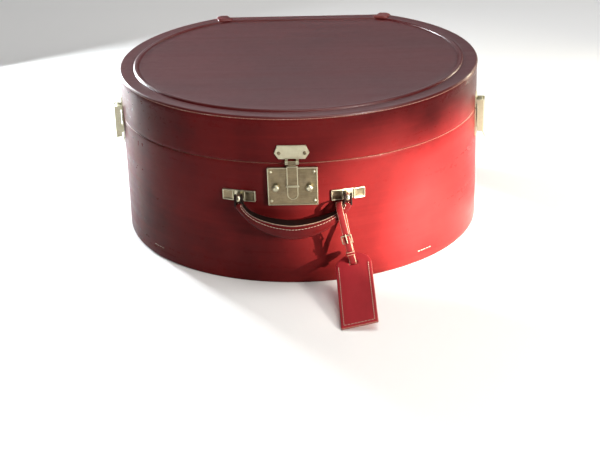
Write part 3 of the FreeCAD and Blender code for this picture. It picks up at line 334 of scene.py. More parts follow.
def steel_finish():
    s = Shade("pin_steel")
    lines = s.cloud(1.0, 3.0, 0.6, stretch=(2000.0, 80.0, 80.0))
    colour = s.ramp(lines, [(0.3, (0.30, 0.29, 0.27)), (0.7, (0.56, 0.55, 0.52))])
    return s.finish(colour, s.span(lines, 0.3, 0.7, 0.28, 0.42), s.relief(lines, 0.00004, 0.3), Metallic=1.0)


def wood_finish():
    """Bent plywood carcase with long grain."""
    s = Shade("bent_plywood")
    grain = s.cloud(1.0, 7.0, 0.7, stretch=(9.0, 9.0, 240.0), distort=0.6)
    colour = s.ramp(grain, [(0.3, (0.22, 0.12, 0.055)), (0.55, (0.40, 0.25, 0.13)), (0.75, (0.52, 0.36, 0.20))])
    return s.finish(colour, s.span(grain, 0.3, 0.7, 0.5, 0.7), s.relief(grain, 0.0002, 0.4))


def suede_finish(name, tone):
    """Soft nap: short fibres brushed in patches."""
    s = Shade(name)
    nap = s.cloud(1500.0, 5.0, 0.75)
    patches = s.cloud(22.0, 4.0, 0.6, distort=0.7)
    colour = s.ramp(patches, [(0.32, mixed(tone, (0, 0, 0), 0.12)), (0.68, mixed(tone, (1, 1, 1), 0.05))])
    colour = s.blend(s.span(nap, 0.35, 0.7, 0.0, 0.35), colour, mixed(tone, (0, 0, 0), 0.45))
    normal = s.relief(nap, 0.0002, 0.6, s.relief(patches, 0.0004, 0.3))
    return s.finish(colour, s.span(nap, 0.3, 0.7, 0.85, 1.0), normal,
                    Sheen_Weight=0.35, Sheen_Roughness=0.5, Specular_IOR_Level=0.2)


def lip_finish():
    """Cream paper-covered board of the upstand, with its fine laid lines."""
    s = Shade("lip_paper")
    laid = s.cloud(1.0, 3.0, 0.6, stretch=(60.0, 60.0, 1800.0))
    stain = s.cloud(30.0, 5.0, 0.65)
    colour = s.ramp(stain, [(0.3, (0.36, 0.27, 0.18)), (0.7, (0.52, 0.42, 0.30))])
    colour = s.blend(s.span(laid, 0.4, 0.7, 0.0, 0.3), colour, (0.30, 0.22, 0.15))
    return s.finish(colour, s.span(laid, 0.3, 0.7, 0.6, 0.8), s.relief(laid, 0.0001, 0.4))


def thread_finish():
    """Waxed linen thread with its twist."""
    s = Shade("linen_thread")
    tone = tuple3(colours().thread)
    wave = s.add("ShaderNodeTexWave", wave_type="BANDS", bands_direction="DIAGONAL")
    wave.inputs["Scale"].default_value = 900.0
    wave.inputs["Distortion"].default_value = 1.5
    s.link(s.coords, wave.inputs["Vector"])
    colour = s.ramp(wave.outputs["Fac"], [(0.1, mixed(tone, (0, 0, 0), 0.45)), (0.7, tone)])
    return s.finish(colour, s.span(wave.outputs["Fac"], 0, 1, 0.75, 0.55),
                    s.relief(wave.outputs["Fac"], 0.0001, 0.6))


def floor_finish():
    s = Shade("pale_floor")
    tone = tuple3(colours().floor)
    soft = s.cloud(1.3, 3.0, 0.5)
    colour = s.ramp(soft, [(0.3, mixed(tone, (0, 0, 0), 0.02)), (0.7, tone)])
    return s.finish(colour, s.span(soft, 0.3, 0.7, 0.75, 0.9), s.relief(s.cloud(400.0, 3.0, 0.6), 0.0001, 0.1))


FINISHES = {}


def finish_named(name):
    """Makes each finish once, the first time that a piece asks for it."""
    if name in FINISHES:
        return FINISHES[name]
    c = colours()
    deep, full, rubbed = tuple3(c.calf_deep), tuple3(c.calf_full), tuple3(c.calf_rubbed)
    makers = {
        "wall_calf": lambda: calf_finish("wall_calf", deep, full, rubbed),
        "top_calf": lambda: calf_finish("top_calf", mixed(deep, full, 0.3), mixed(deep, full, 0.6), full, 0.33,
                                        (2.0, 55.0, 2.0), 0.42),
        "grip_calf": lambda: calf_finish("grip_calf", deep, mixed(deep, full, 0.9), mixed(full, rubbed, 0.3), 0.20,
                                         (40.0, 5.0, 40.0), 0.10),
        "tab_calf": lambda: calf_finish("tab_calf", deep, mixed(full, rubbed, 0.3), mixed(rubbed, (1, .6, .5), .15),
                                        0.38, (30.0, 30.0, 30.0), 0.3),
        "tag_calf": lambda: calf_finish("tag_calf", mixed(deep, tuple3(c.tag_tone), 0.5), tuple3(c.tag_tone),
                                        rubbed, 0.34, (30.0, 8.0, 8.0), 0.15),
        # The strap's leather is darker than the tag's; this darkening is painted shade for a strap that lies at the
        # edge of the low sun.
        "shaded_strap_calf": lambda: calf_finish("shaded_strap_calf", deep, mixed(full, tuple3(c.tag_tone), 0.25), rubbed, 0.34,
                                          (30.0, 8.0, 8.0), 0.15),
        "dark_leather": lambda: calf_finish("dark_leather", mixed(tuple3(c.strip_dark), (0, 0, 0), 0.4),
                                            tuple3(c.strip_dark), mixed(tuple3(c.strip_dark), rubbed, 0.25),
                                            0.42, (60.0, 6.0, 60.0)),
        "raw_edge": lambda: raw_edge_finish("raw_edge", tuple3(c.raw_edge)),
        "red_edge": lambda: raw_edge_finish("red_edge", mixed(rubbed, tuple3(c.raw_edge), 0.35)),
        "welt": lambda: raw_edge_finish("welt", mixed(deep, tuple3(c.strip_dark), 0.5)),
        "bright_brass": lambda: brass_finish("bright_brass", tuple3(c.brass), tuple3(c.brass_dull), worn=0.25),
        # Darker, duller brass for the recessed fields of the plates and pads: partly dull tarnish, partly painted
        # shade of the recess.
        "shaded_plate_brass": lambda: brass_finish("shaded_plate_brass", mixed(tuple3(c.brass_dull), (0, 0, 0), 0.22),
                                            mixed(tuple3(c.brass_dull), (0.02, 0.01, 0.01), 0.62), worn=0.75),
        "pin_steel": steel_finish,
        "bent_plywood": wood_finish,
        "suede": lambda: suede_finish("suede", tuple3(c.suede)),
        "pad_suede": lambda: suede_finish("pad_suede", mixed(tuple3(c.suede), (0.6, 0.45, 0.3), 0.35)),
        "lip_paper": lip_finish,
        "linen_thread": thread_finish,
        "pale_floor": floor_finish,
    }
    FINISHES[name] = makers[name]()
    return FINISHES[name]


# ------------------------------------------------------------------ mesh helpers, all in millimetres
def new_piece(name, points, faces, finishes, body, bands=None):
    """A smooth-shaded mesh from points in millimetres, which rides on a body."""
    mesh = bpy.data.meshes.new(name)
    mesh.from_pydata([tuple(c * MM for c in p) for p in points], [], faces)
    for finish in finishes:
        mesh.materials.append(finish_named(finish))
    mesh.polygons.foreach_set("use_smooth", [True] * len(mesh.polygons))
    if bands:
        mesh.polygons.foreach_set("material_index", bands)
    mesh.validate()
    mesh.update()
    piece = bpy.data.objects.new(name, mesh)
    bpy.context.scene.collection.objects.link(piece)
    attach(piece, body)
    return piece


def plan_line(inset):
    """Points round the plan, from the middle of the front, drawn in by inset: x, y and outward direction."""
    radius = RADIUS - inset
    back = BACK_Y - inset
    bend = max(CORNER_R - inset, 0.8)
    bend_x = math.sqrt((radius - bend) ** 2 - (back - bend) ** 2)
    bend_y = back - bend
    touch = math.atan2(bend_y, bend_x)
    right = []
    for i in range(ROUND_STEPS):
        a = -math.pi / 2 + (touch + math.pi / 2) * i / ROUND_STEPS
        right.append((radius * math.cos(a), radius * math.sin(a), math.cos(a), math.sin(a)))
    for i in range(BEND_STEPS):
        a = touch + (math.pi / 2 - touch) * i / BEND_STEPS
        right.append((bend_x + bend * math.cos(a), bend_y + bend * math.sin(a), math.cos(a), math.sin(a)))
    for i in range(BACK_STEPS):
        right.append((bend_x * (1 - i / BACK_STEPS), back, 0.0, 1.0))
    left = [(-x, y, -nx, ny) for x, y, nx, ny in reversed(right[1:])]
    return right + [(0.0, back, 0.0, 1.0)] + left


def sweep_faces(rows, count, closed_rows):
    """Quads of a grid of rows, each a closed ring of count points."""
    faces = []
    last = rows if closed_rows else rows - 1
    for i in range(last):
        a, b = i * count, ((i + 1) % rows) * count
        for j in range(count):
            k = (j + 1) % count
            faces.append((a + j, a + k, b + k, b + j))
    return faces


def plan_sweep(profile, closed=True, ruffle=None):
    """Sweeps a profile of (inset, z) pairs round the plan; ruffle(x, y, z) moves a point outwards."""
    points = []
    for inset, z in profile:
        for x, y, nx, ny in plan_line(inset):
            push = ruffle(x, y, z, inset) if ruffle else 0.0
            points.append((x + nx * push, y + ny * push, z))
    count = len(plan_line(0))
    return points, sweep_faces(len(profile), count, closed), count


def smooth_line(points, per_span=8, closed=False):
    """A smooth line through the points (Catmull-Rom), as Vectors."""
    pts = [Vector(p) for p in points]
    n = len(pts)
    spans = n if closed else n - 1
    line = []
    for i in range(spans):
        p1, p2 = pts[i], pts[(i + 1) % n]
        p0 = pts[(i - 1) % n] if closed or i > 0 else p1 * 2 - p2
        p3 = pts[(i + 2) % n] if closed or i + 2 < n else p2 * 2 - p1
        for k in range(per_span):
            t = k / per_span
            line.append(0.5 * ((2 * p1) + (p2 - p0) * t + (2 * p0 - 5 * p1 + 4 * p2 - p3) * t * t
                               + (3 * p1 - 3 * p2 + p3 - p0) * t ** 3))
    if not closed:
        line.append(pts[-1])
    return line


def resampled(line, step):
    """The same line with points about step apart."""
    lengths = [0.0]
    for a, b in zip(line, line[1:]):
        lengths.append(lengths[-1] + (b - a).length)
    total = lengths[-1]
    count = max(2, round(total / step))
    out, seg = [], 0
    for i in range(count + 1):
        at = total * i / count
        while seg < len(line) - 2 and lengths[seg + 1] < at:
            seg += 1
        span = lengths[seg + 1] - lengths[seg] or 1.0
        out.append(line[seg].lerp(line[seg + 1], (at - lengths[seg]) / span))
    return out


class Heap:
    """Collects several closed forms into one mesh."""

    def __init__(self):
        self.points, self.faces, self.bands = [], [], []

    def loft(self, rings, band=0, bands=None, closed=False):
        """Skin over rings of equal count; ends are capped unless the loft closes on itself."""
        base, count, rows = len(self.points), len(rings[0]), len(rings)
        for ring in rings:
            self.points.extend(tuple(p) for p in ring)
        for face in sweep_faces(rows, count, closed):
            self.faces.append(tuple(base + v for v in face))
            self.bands.append(bands[face[0] % count] if bands else band)
        if not closed:
            self.faces.append(tuple(base + v for v in reversed(range(count))))
            self.faces.append(tuple(base + (rows - 1) * count + v for v in range(count)))
            self.bands.extend([band, band])

    def tube(self, line, radius, sides=8, band=0, closed=False):
        """A round tube along a line; radius may be a number or one number a point."""
        n = len(line)
        radii = radius if isinstance(radius, list) else [radius] * n
        normal = None
        rings = []
        for i in range(n):
            ahead = line[(i + 1) % n] if closed or i + 1 < n else line[i]
            before = line[i - 1] if closed or i > 0 else line[i]
            along = (ahead - before).normalized()
            if normal is None:
                normal = along.orthogonal().normalized()
            normal = (normal - along * normal.dot(along)).normalized()
            other = along.cross(normal)
            rings.append([line[i] + (normal * math.cos(2 * math.pi * k / sides)
                                     + other * math.sin(2 * math.pi * k / sides)) * radii[i]
                          for k in range(sides)])
        self.loft(rings, band, closed=closed)

    def piece(self, name, finishes, body, slot_name):
        return new_piece(name, self.points, self.faces, finishes, body, self.bands)


def stitch_run(heap, line, outward, band=0, length=None, gap=None, bed=0.35):
    """Lays short stitches along a line; outward(point) is the surface's direction there."""
    size = sizes()
    length = (length or size.stitch_length) / MM
    gap = (gap or size.stitch_gap) / MM
    radius = size.thread_radius / MM
    marks = resampled(line, length + gap)
    share = length / (length + gap)
    for a, b in zip(marks, marks[1:]):
        end = a.lerp(b, share)
        up = outward(a.lerp(end, 0.5))
        path = []
        for k in range(7):
            t = k / 6
            lift = radius * (math.sin(math.pi * t) ** 0.6 * (1 + bed) - bed)
            path.append(a.lerp(end, t) + up * lift)
        heap.tube(path, [radius * f for f in (0.55, 0.9, 1.0, 1.0, 1.0, 0.9, 0.55)], 6, band)


def ribbon(heap, line, across, thickness, width, surface=0, edge=1, soft=0.35):
    """A strap with rounded edges that follows a line; across is its sideways direction."""
    half_w, half_t = width / 2, thickness / 2
    corner = half_t * (1 - soft)
    shape = [(-half_w + half_t * 0.55, half_t), (0, half_t * 1.03), (half_w - half_t * 0.55, half_t),
             (half_w - half_t * 0.12, corner), (half_w, 0), (half_w - half_t * 0.12, -corner),
             (half_w - half_t * 0.55, -half_t), (0, -half_t * 1.03), (-half_w + half_t * 0.55, -half_t),
             (-half_w + half_t * 0.12, -corner), (-half_w, 0), (-half_w + half_t * 0.12, corner)]
    bands = [surface, surface, edge, edge, edge, edge, surface, surface, edge, edge, edge, edge]
    rings = []
    for i, point in enumerate(line):
        ahead, before = line[min(i + 1, len(line) - 1)], line[max(i - 1, 0)]
        along = (ahead - before).normalized()
        up = across.cross(along).normalized()
        rings.append([point + across * a + up * b for a, b in shape])
    heap.loft(rings, edge, bands)


def waver(x, y, z, pitch, depth):
    """Slow, smooth unevenness of glued leather; the same every time."""
    return depth * noise.noise(Vector((x / pitch, y / pitch, z / pitch * 2.2)))


# ------------------------------------------------------------------ body and lid leather
def wall_profile(low, high, roll):
    """Closed profile of wall leather between two heights, its edges rounded by roll."""
    rows = [(LEATHER_T, low), (roll, low), (roll * 0.3, low + roll * 0.3), (0.0, low + roll)]
    steps = max(4, round((high - low) / 5.0))
    rows += [(0.0, low + roll + (high - low - 2 * roll) * i / steps) for i in range(1, steps)]
    rows += [(0.0, high - roll), (roll * 0.3, high - roll * 0.3), (roll, high), (LEATHER_T, high)]
    return rows


def wall_ruffle(low, high):
    depth = sizes().wall_unevenness / MM

    def ruffle(x, y, z, inset):
        if inset > 0.01:
            return 0.0
        fade = min(1.0, (z - low) / 6.0, (high - z) / 6.0)
        return waver(x, y, z, 34.0, depth) * fade + waver(x + 90, y, z, 11.0, depth * 0.25) * fade - depth * fade
    return ruffle


def wall_skin(name, low, high, body, node, edge_top, edge_bottom):
    profile = wall_profile(low, high, 0.7)
    points, faces, count = plan_sweep(profile, True, wall_ruffle(low, high))
    rows = len(profile)
    bands = []
    for row in range(rows):
        on_top = row >= rows - 3 and row < rows - 1
        on_bottom = row <= 1
        paint = 1 if (on_top and edge_top) or (on_bottom and edge_bottom) else 0
        bands += [paint] * count
    piece = new_piece(name, points, faces, ["wall_calf", "red_edge"], body, bands)
    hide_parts(node)
    return piece


def back_seam(name, low, high, body):
    """Overlap and double stitching of the wall leather, up the middle of the back."""
    heap = Heap()
    lap_w, lap_t = 16.0, 0.7
    rows = []
    steps = max(6, round((high - low) / 4.0))
    for i in range(steps + 1):
        z = low + (high - low) * i / steps
        ring = []
        for x, out in ((-lap_w / 2, -0.1), (-lap_w / 2 + 0.2, lap_t * 0.7), (-lap_w / 2 + 0.9, lap_t),
                       (0, lap_t + 0.1), (lap_w / 2 - 0.9, lap_t), (lap_w / 2 - 0.2, lap_t * 0.7),
                       (lap_w / 2, -0.1), (0, -0.2)):
            ring.append(Vector((x + 0.25 * noise.noise(Vector((z / 30, 3, 1))), BACK_Y + out, z)))
        rows.append(ring)
    heap.loft(rows)
    for x in (-5.2, 5.2):
        line = [Vector((x, BACK_Y + lap_t + 0.05, low + 3)), Vector((x, BACK_Y + lap_t + 0.05, high - 3))]
        stitch_run(heap, line, lambda p: Vector((0, 1, 0)), band=1)
    return heap.piece(name, ["wall_calf", "linen_thread"], body, "burgundy_leather")


class HATBOX_OT_wall_leather(bpy.types.Operator):
    """Covers the walls of body and lid in glazed calf, with a stitched lap at the back"""
    bl_idname = "hatbox.wall_leather"
    bl_label = "Wall leather"

    def execute(self, context):
        wall_skin("body_wall_calf", 0.75, BODY_TOP, "body", "body_leather", True, False)
        wall_skin("lid_wall_calf", LID_BOTTOM, HEIGHT - TOP_RIM_H, "lid", "lid_wall_leather", False, True)
        back_seam("body_back_lap", 2.0, BODY_TOP - 0.6, "body")
        back_seam("lid_back_lap", LID_BOTTOM + 0.6, HEIGHT - TOP_RIM_H - 0.4, "lid")
        return {"FINISHED"}


def top_profile():
    """Profile of the lid's top leather from its rolled lower edge to the start of the inner field."""
    low = HEIGHT - TOP_RIM_H
    rows = [(LEATHER_T, low), (0.1, low), (-0.28, low + 0.22), (-0.36, low + 0.7), (-0.22, low + 1.1)]
    edge_r = 2.2
    for k in range(7):
        a = math.pi / 2 * k / 6
        rows.append((edge_r * (1 - math.cos(a)) - 0.05 * (6 - k) / 6, HEIGHT - edge_r + edge_r * math.sin(a)))
    rows += [(4.2, HEIGHT + 0.06), (7.5, HEIGHT + 0.1), (11.0, HEIGHT + 0.08), (14.0, HEIGHT + 0.02),
             (15.8, HEIGHT - 0.1), (16.6, HEIGHT - 0.42), (17.1, HEIGHT - 0.30), (17.5, HEIGHT + 0.35)]
    middle = BEAD_INSET + BEAD_W / 2
    for k in range(1, 8):
        a = math.pi * k / 8
        rows.append((middle - (BEAD_W / 2 - 0.4) * math.cos(a), HEIGHT + 0.3 + (BEAD_H - 0.3) * math.sin(a)))
    rows += [(23.1, HEIGHT + 0.35), (23.5, HEIGHT - 0.30), (24.0, HEIGHT - 0.42), (24.9, HEIGHT - 0.18),
             (26.5, HEIGHT - 0.1)]
    return rows


class HATBOX_OT_lid_top(bpy.types.Operator):
    """Top leather of the lid, drawn over the raised bead in one skin"""
    bl_idname = "hatbox.lid_top"
    bl_label = "Lid top leather"

    def execute(self, context):
        rows = top_profile()
        points, faces, count = plan_sweep(rows, closed=False)
        bands = [0] * len(faces)
        for row in range(1, 4):
            for j in range(count):
                bands[row * count + j] = 1
        inner = plan_line(rows[-1][0])
        shrink_steps = 26
        for k in range(1, shrink_steps + 1):
            share = 1 - k / (shrink_steps + 0.6)
            for x, y, nx, ny in inner:
                px, py = x * share, y * share
                sag = -0.10 - 0.30 * (1 - share ** 2)
                sag += waver(px * 0.45, py * 1.6, 0, 26.0, 0.10) + waver(px * 0.3 + 50, py * 2.2, 0, 12.0, 0.03)
                points.append((px, py, HEIGHT + sag * min(1.0, k / 2)))
        start = len(rows) - 1
        for row in range(start, start + shrink_steps):
            for j in range(count):
                n = (j + 1) % count
                faces.append((row * count + j, row * count + n, (row + 1) * count + n, (row + 1) * count + j))
        bands += [0] * (shrink_steps * count)
        last = (start + shrink_steps) * count
        points.append((0.0, 0.0, HEIGHT - 0.4))
        centre = len(points) - 1
        faces += [(last + j, last + (j + 1) % count, centre) for j in range(count)]
        bands += [0] * count
        under = len(points)
        points += [(x, y, LID_BOARD_TOP) for x, y, nx, ny in plan_line(LEATHER_T)]
        faces += [(under + j, under + (j + 1) % count, (j + 1) % count, j) for j in range(count)]
        bands += [0] * count
        points.append((0.0, 0.0, LID_BOARD_TOP))
        faces += [(under + (j + 1) % count, under + j, len(points) - 1) for j in range(count)]
        bands += [0] * count
        piece = new_piece("lid_top_calf", points, faces, ["top_calf", "red_edge"], "lid",
                          bands)
        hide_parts("lid_top_leather", "lid_bead")
        return {"FINISHED"}


# ------------------------------------------------------------------ corner leathers
def corner_frame():
    """Middle of the right back bend and the way it faces."""
    bend_x = math.sqrt((RADIUS - CORNER_R) ** 2 - (BACK_Y - CORNER_R) ** 2)
    touch = math.atan2(BACK_Y - CORNER_R, bend_x)
    heading = (touch + math.pi / 2) / 2
    return bend_x, touch, heading


def bend_point(along, inset):
    """Point at a distance along the plan line from the middle of the right back bend."""
    bend_x, touch, heading = corner_frame()
    half_arc = (math.pi / 2 - touch) / 2 * CORNER_R
    if abs(along) <= half_arc:
        a = heading + along / CORNER_R
        return Vector((bend_x + (CORNER_R - inset) * math.cos(a),
                       BACK_Y - CORNER_R + (CORNER_R - inset) * math.sin(a), 0))
    if along > 0:
        return Vector((bend_x - (along - half_arc), BACK_Y - inset, 0))
    a = touch - (-along - half_arc) / RADIUS
    return Vector(((RADIUS - inset) * math.cos(a), (RADIUS - inset) * math.sin(a), 0))


def smoothstep(t):
    t = min(1.0, max(0.0, t))
    return t * t * (3 - 2 * t)


def corner_leather(profile, width, thickness, gather, sign):
    """Grid of outer and inner points of a thick leather strip over the right back corner."""
    heading = corner_frame()[2]
    inward = Vector((-math.cos(heading), -math.sin(heading), 0))
    sideways = Vector((-math.sin(heading), math.cos(heading), 0))
    corner = bend_point(0, 0)
    columns = 14
    outer, inner = [], []
    for i, (inset, z, out, up) in enumerate(profile):
        row_out, row_in = [], []
        share = smoothstep((inset - 1.5) / 9.0)
        run = i / (len(profile) - 1)
        for j in range(columns + 1):
            v = (j / columns - 0.5) * 2
            along = v * width / 2 * (1 - gather * math.sin(math.pi * run) ** 2)
            on_line = bend_point(along, min(inset, CORNER_R - 1.0))
            out_dir = (bend_point(along, 0) - bend_point(along, 1)).normalized()
            on_top = corner + inward * inset + sideways * along
            base = on_line.lerp(on_top, share)
            out_dir = out_dir.lerp(-inward, share).normalized()
            body = thickness * (1 - 0.55 * abs(v) ** 6)
            body += 0.5 * noise.noise(Vector((along / 5, run * 7, 2))) * (1 - abs(v) ** 4)
            body += gather * 1.2 * math.cos(v * 7.0) * math.sin(math.pi * run) * (1 - v * v)
            base.z = z
            row_in.append(base + out_dir * (out * 0.02) + Vector((0, 0, up * 0.02)))
            row_out.append(base + out_dir * (out * body) + Vector((0, 0, up * body)))
        outer.append(row_out)
        inner.append(row_in)
    rings = [o + list(reversed(i)) for o, i in zip(outer, inner)]
    return [[Vector((sign * p.x, p.y, p.z)) for p in ring] for ring in rings], outer


def tab_profile():
    """Path of the lid tab: up the wall, over the edge and in to the bead."""
    low, turn = HEIGHT - 26.0, 2.6
    rows = [(0.0, low + 0.01, 0.35, -0.2), (0.0, low + 0.5, 0.9, 0.0)]
    rows += [(0.0, low + 1.4 + (HEIGHT - turn - low - 1.4) * k / 7, 1.0, 0.0) for k in range(8)]
    for k in range(1, 7):
        a = math.pi / 2 * k / 6
        rows.append((turn * (1 - math.cos(a)), HEIGHT - turn + turn * math.sin(a), math.cos(a), math.sin(a)))
    rows += [(inset, HEIGHT, 0.0, 1.0) for inset in (5.0, 8.0, 11.0, 14.0)]
    rows += [(17.5, HEIGHT + 0.6, -0.1, 1.1), (20.0, HEIGHT + 1.6, 0.0, 1.0), (22.5, HEIGHT + 1.3, -0.5, 0.9),
             (24.0, HEIGHT + 0.2, -0.8, 0.5)]
    return rows


class HATBOX_OT_corner_leathers(bpy.types.Operator):
    """Thick leather over the back corners of lid and body, with its stitching"""
    bl_idname = "hatbox.corner_leathers"
    bl_label = "Corner leathers"

    def execute(self, context):
        for sign, side in ((1, "right"), (-1, "left")):
            heap = Heap()
            rings, outer = corner_leather(tab_profile(), 19.0, 2.5, 0.10, sign)
            heap.loft(rings)
            line = [Vector((sign * row[2].x, row[2].y, row[2].z)) for row in outer[2:10]]
            other = [Vector((sign * row[-3].x, row[-3].y, row[-3].z)) for row in outer[2:10]]
            for run in (line, other):
                stitch_run(heap, run, lambda p: Vector((p.x, p.y, 0)).normalized(), band=1)
            piece = heap.piece("lid_corner_calf_" + side, ["tab_calf", "linen_thread"], "lid", "burgundy_leather")
            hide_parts("lid_corner_tab_" + side)
        heap = Heap()
        low, high = 1.5, 31.5
        rows = [(0.0, low, 0.3, 0.0), (0.0, low + 0.5, 0.9, 0.0)]
        rows += [(0.0, low + 1.2 + (high - low - 2.4) * k / 9, 1.0, 0.0) for k in range(10)]
        rows += [(0.0, high - 0.4, 0.9, 0.0), (0.0, high, 0.3, 0.0)]
        for sign in (1, -1):
            rings, outer = corner_leather(rows, 19.0, 1.8, 0.0, sign)
            heap.loft(rings)
            for column in (2, -3):
                line = [Vector((sign * row[column].x, row[column].y, row[column].z)) for row in outer[2:-2]]
                stitch_run(heap, line, lambda p: Vector((p.x, p.y, 0)).normalized(), band=1)
        piece = heap.piece("body_corner_calf", ["tab_calf", "linen_thread"], "body", "burgundy_leather")
        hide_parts("body_corner_patches")
        return {"FINISHED"}


# ------------------------------------------------------------------ handle
def grip_stations():
    """Frames along the whole grip, left end to right end: point, across, outward, half sizes."""
    line = [Vector((-x, y, z)) for x, y, z in GRIP_LINE[:-1]] + [Vector(p) for p in reversed(GRIP_LINE)]
    halves = [Vector((t, w, 0)) for t, w in GRIP_HALF[:-1] + list(reversed(GRIP_HALF))]
    centre = smooth_line(line, 9)
    half = smooth_line(halves, 9)
    stations = []
    for i, point in enumerate(centre):
        along = (centre[min(i + 1, len(centre) - 1)] - centre[max(i - 1, 0)]).normalized()
        across = Vector((0, -1, 0))
        across = (across - along * across.dot(along)).normalized()
        outward = across.cross(along).normalized()
        if outward.dot(Vector((point.x, 0, -60))) < 0:
            outward.negate()
        stations.append((point, across, outward, half[i].x, half[i].y))
    return stations


def grip_ring():
    """Closed D-shaped outline of the grip in shares of its half sizes."""
    ring = GRIP_SHAPE + [(n, -w) for n, w in reversed(GRIP_SHAPE[1:-1])]
    return smooth_line([Vector((n, w, 0)) for n, w in ring], 3, closed=True)


class HATBOX_OT_handle(bpy.types.Operator):
    """Carrying handle: stitched calf over a core, dark strip inside, ears round the pins"""
    bl_idname = "hatbox.handle"
    bl_label = "Handle"

    def execute(self, context):
        stations = grip_stations()
        shape = grip_ring()
        heap = Heap()
        rings = []
        for i, (point, across, outward, half_t, half_w) in enumerate(stations):
            ring = []
            for p in shape:
                squeeze = 1.0 + 0.012 * noise.noise(Vector((i * 0.35, p.x * 2, p.y * 2)))
                ring.append(point + outward * (p.x * half_t * squeeze) + across * (p.y * half_w * squeeze))
            rings.append(ring)
        heap.loft(rings)
        for side in (1, -1):
            edge, thread_line = [], []
            for point, across, outward, half_t, half_w in stations[2:-2]:
                edge.append(point + outward * (-0.90 * half_t) + across * (side * 0.80 * half_w))
                thread_line.append(point + outward * (-0.60 * half_t) + across * (side * 0.985 * half_w))
            heap.tube(edge, 0.5, 8, band=1)
            stitch_run(heap, resampled(thread_line, 1.0), lambda p, s=side: Vector((0, -s, -0.15)).normalized(),
                       band=2)
        grip = heap.piece("handle_calf", ["grip_calf", "welt", "linen_thread"], "handle", "burgundy_leather")
        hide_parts("handle_grip")

        heap = Heap()
        rings = []
        for point, across, outward, half_t, half_w in stations:
            low, high, reach = -half_t - 0.75, -half_t + 0.7, half_w * 0.80
            ring = []
            for n, w in ((high, -1), (low + 0.5, -1), (low + 0.12, -0.94), (low, -0.8), (low - 0.12, -0.3),
                         (low - 0.12, 0.3), (low, 0.8), (low + 0.12, 0.94), (low + 0.5, 1), (high, 1)):
                ring.append(point + outward * n + across * (w * reach))
            rings.append(ring)
        heap.loft(rings, bands=[1, 0, 0, 0, 0, 0, 0, 0, 1, 0])
        strip = heap.piece("handle_inner_strip", ["dark_leather", "raw_edge"], "handle", "dark_leather")
        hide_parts("handle_underside")

        heap = Heap()
        for side in (1, -1):
            foot, across, outward, half_t, half_w = stations[-1] if side > 0 else stations[0]
            for inner in (1, -1):
                x_mid = side * HANDLE_HALF + inner * 3.5
                rings = []
                for dx, grow in ((-1.2, 0.72), (-1.0, 0.92), (-0.5, 1.0), (0.5, 1.0), (1.0, 0.92), (1.2, 0.72)):
                    ring = []
                    for k in range(21):
                        a = math.pi * k / 20
                        ring.append(Vector((x_mid + dx, PIVOT_Y + 5.5 * grow * math.cos(a),
                                            PIVOT_Z + 5.5 * grow * math.sin(a))))
                    low = foot.z - 1.2
                    for k in range(1, 5):
                        t = k / 5
                        y = PIVOT_Y - 5.5 * grow
                        ring.append(Vector((x_mid + dx, y - 0.5 * t, PIVOT_Z + (low - PIVOT_Z) * t)))
                    ring.append(Vector((x_mid + dx, PIVOT_Y - 5.7 * grow, low)))
                    ring.append(Vector((x_mid + dx, PIVOT_Y + 5.2 * grow, low)))
                    ring.append(Vector((x_mid + dx, PIVOT_Y + 5.5 * grow, (low + PIVOT_Z) / 2)))
                    rings.append(ring)
                heap.loft(rings)
        ears = heap.piece("handle_ear_leather", ["dark_leather", "raw_edge"], "handle", "dark_leather")
        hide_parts("handle_ears")
        return {"FINISHED"}


# ------------------------------------------------------------------ brass fittings
def shrunk(outline, inset):
    """A convex outline of (x, z) points drawn in by inset, corner by corner."""
    count = len(outline)
    area = sum(outline[i][0] * outline[(i + 1) % count][1] - outline[(i + 1) % count][0] * outline[i][1]
               for i in range(count))
    turn = 1 if area > 0 else -1
    out = []
    for i in range(count):
        (ax, az), (bx, bz), (cx, cz) = outline[i - 1], outline[i], outline[(i + 1) % count]
        d1 = Vector((bx - ax, bz - az)).normalized()
        d2 = Vector((cx - bx, cz - bz)).normalized()
        n1, n2 = Vector((-d1.y, d1.x)) * turn, Vector((-d2.y, d2.x)) * turn
        middle = (n1 + n2).normalized()
        reach = inset / max(0.35, middle.dot(n1))
        out.append((bx + middle.x * reach, bz + middle.y * reach))
    return out


def rounded_outline(corners, radius, steps=5):
    """A closed outline of (x, z) corners with each corner rounded."""
    count = len(corners)
    out = []
    for i in range(count):
        b = Vector(corners[i])
        to_a = (Vector(corners[i - 1]) - b).normalized()
        to_c = (Vector(corners[(i + 1) % count]) - b).normalized()
        for k in range(steps + 1):
            t = k / steps
            start, end = b + to_a * radius, b + to_c * radius
            point = start * (1 - t) ** 2 + b * (2 * t * (1 - t)) + end * t ** 2
            out.append((point.x, point.y))
    return out


def dense_outline(outline, step=1.5):
    """The same closed outline with its long edges divided."""
    out = []
    for i, (ax, az) in enumerate(outline):
        bx, bz = outline[(i + 1) % len(outline)]
        parts = max(1, round(math.hypot(bx - ax, bz - az) / step))
        out += [(ax + (bx - ax) * k / parts, az + (bz - az) * k / parts) for k in range(parts)]
    return out


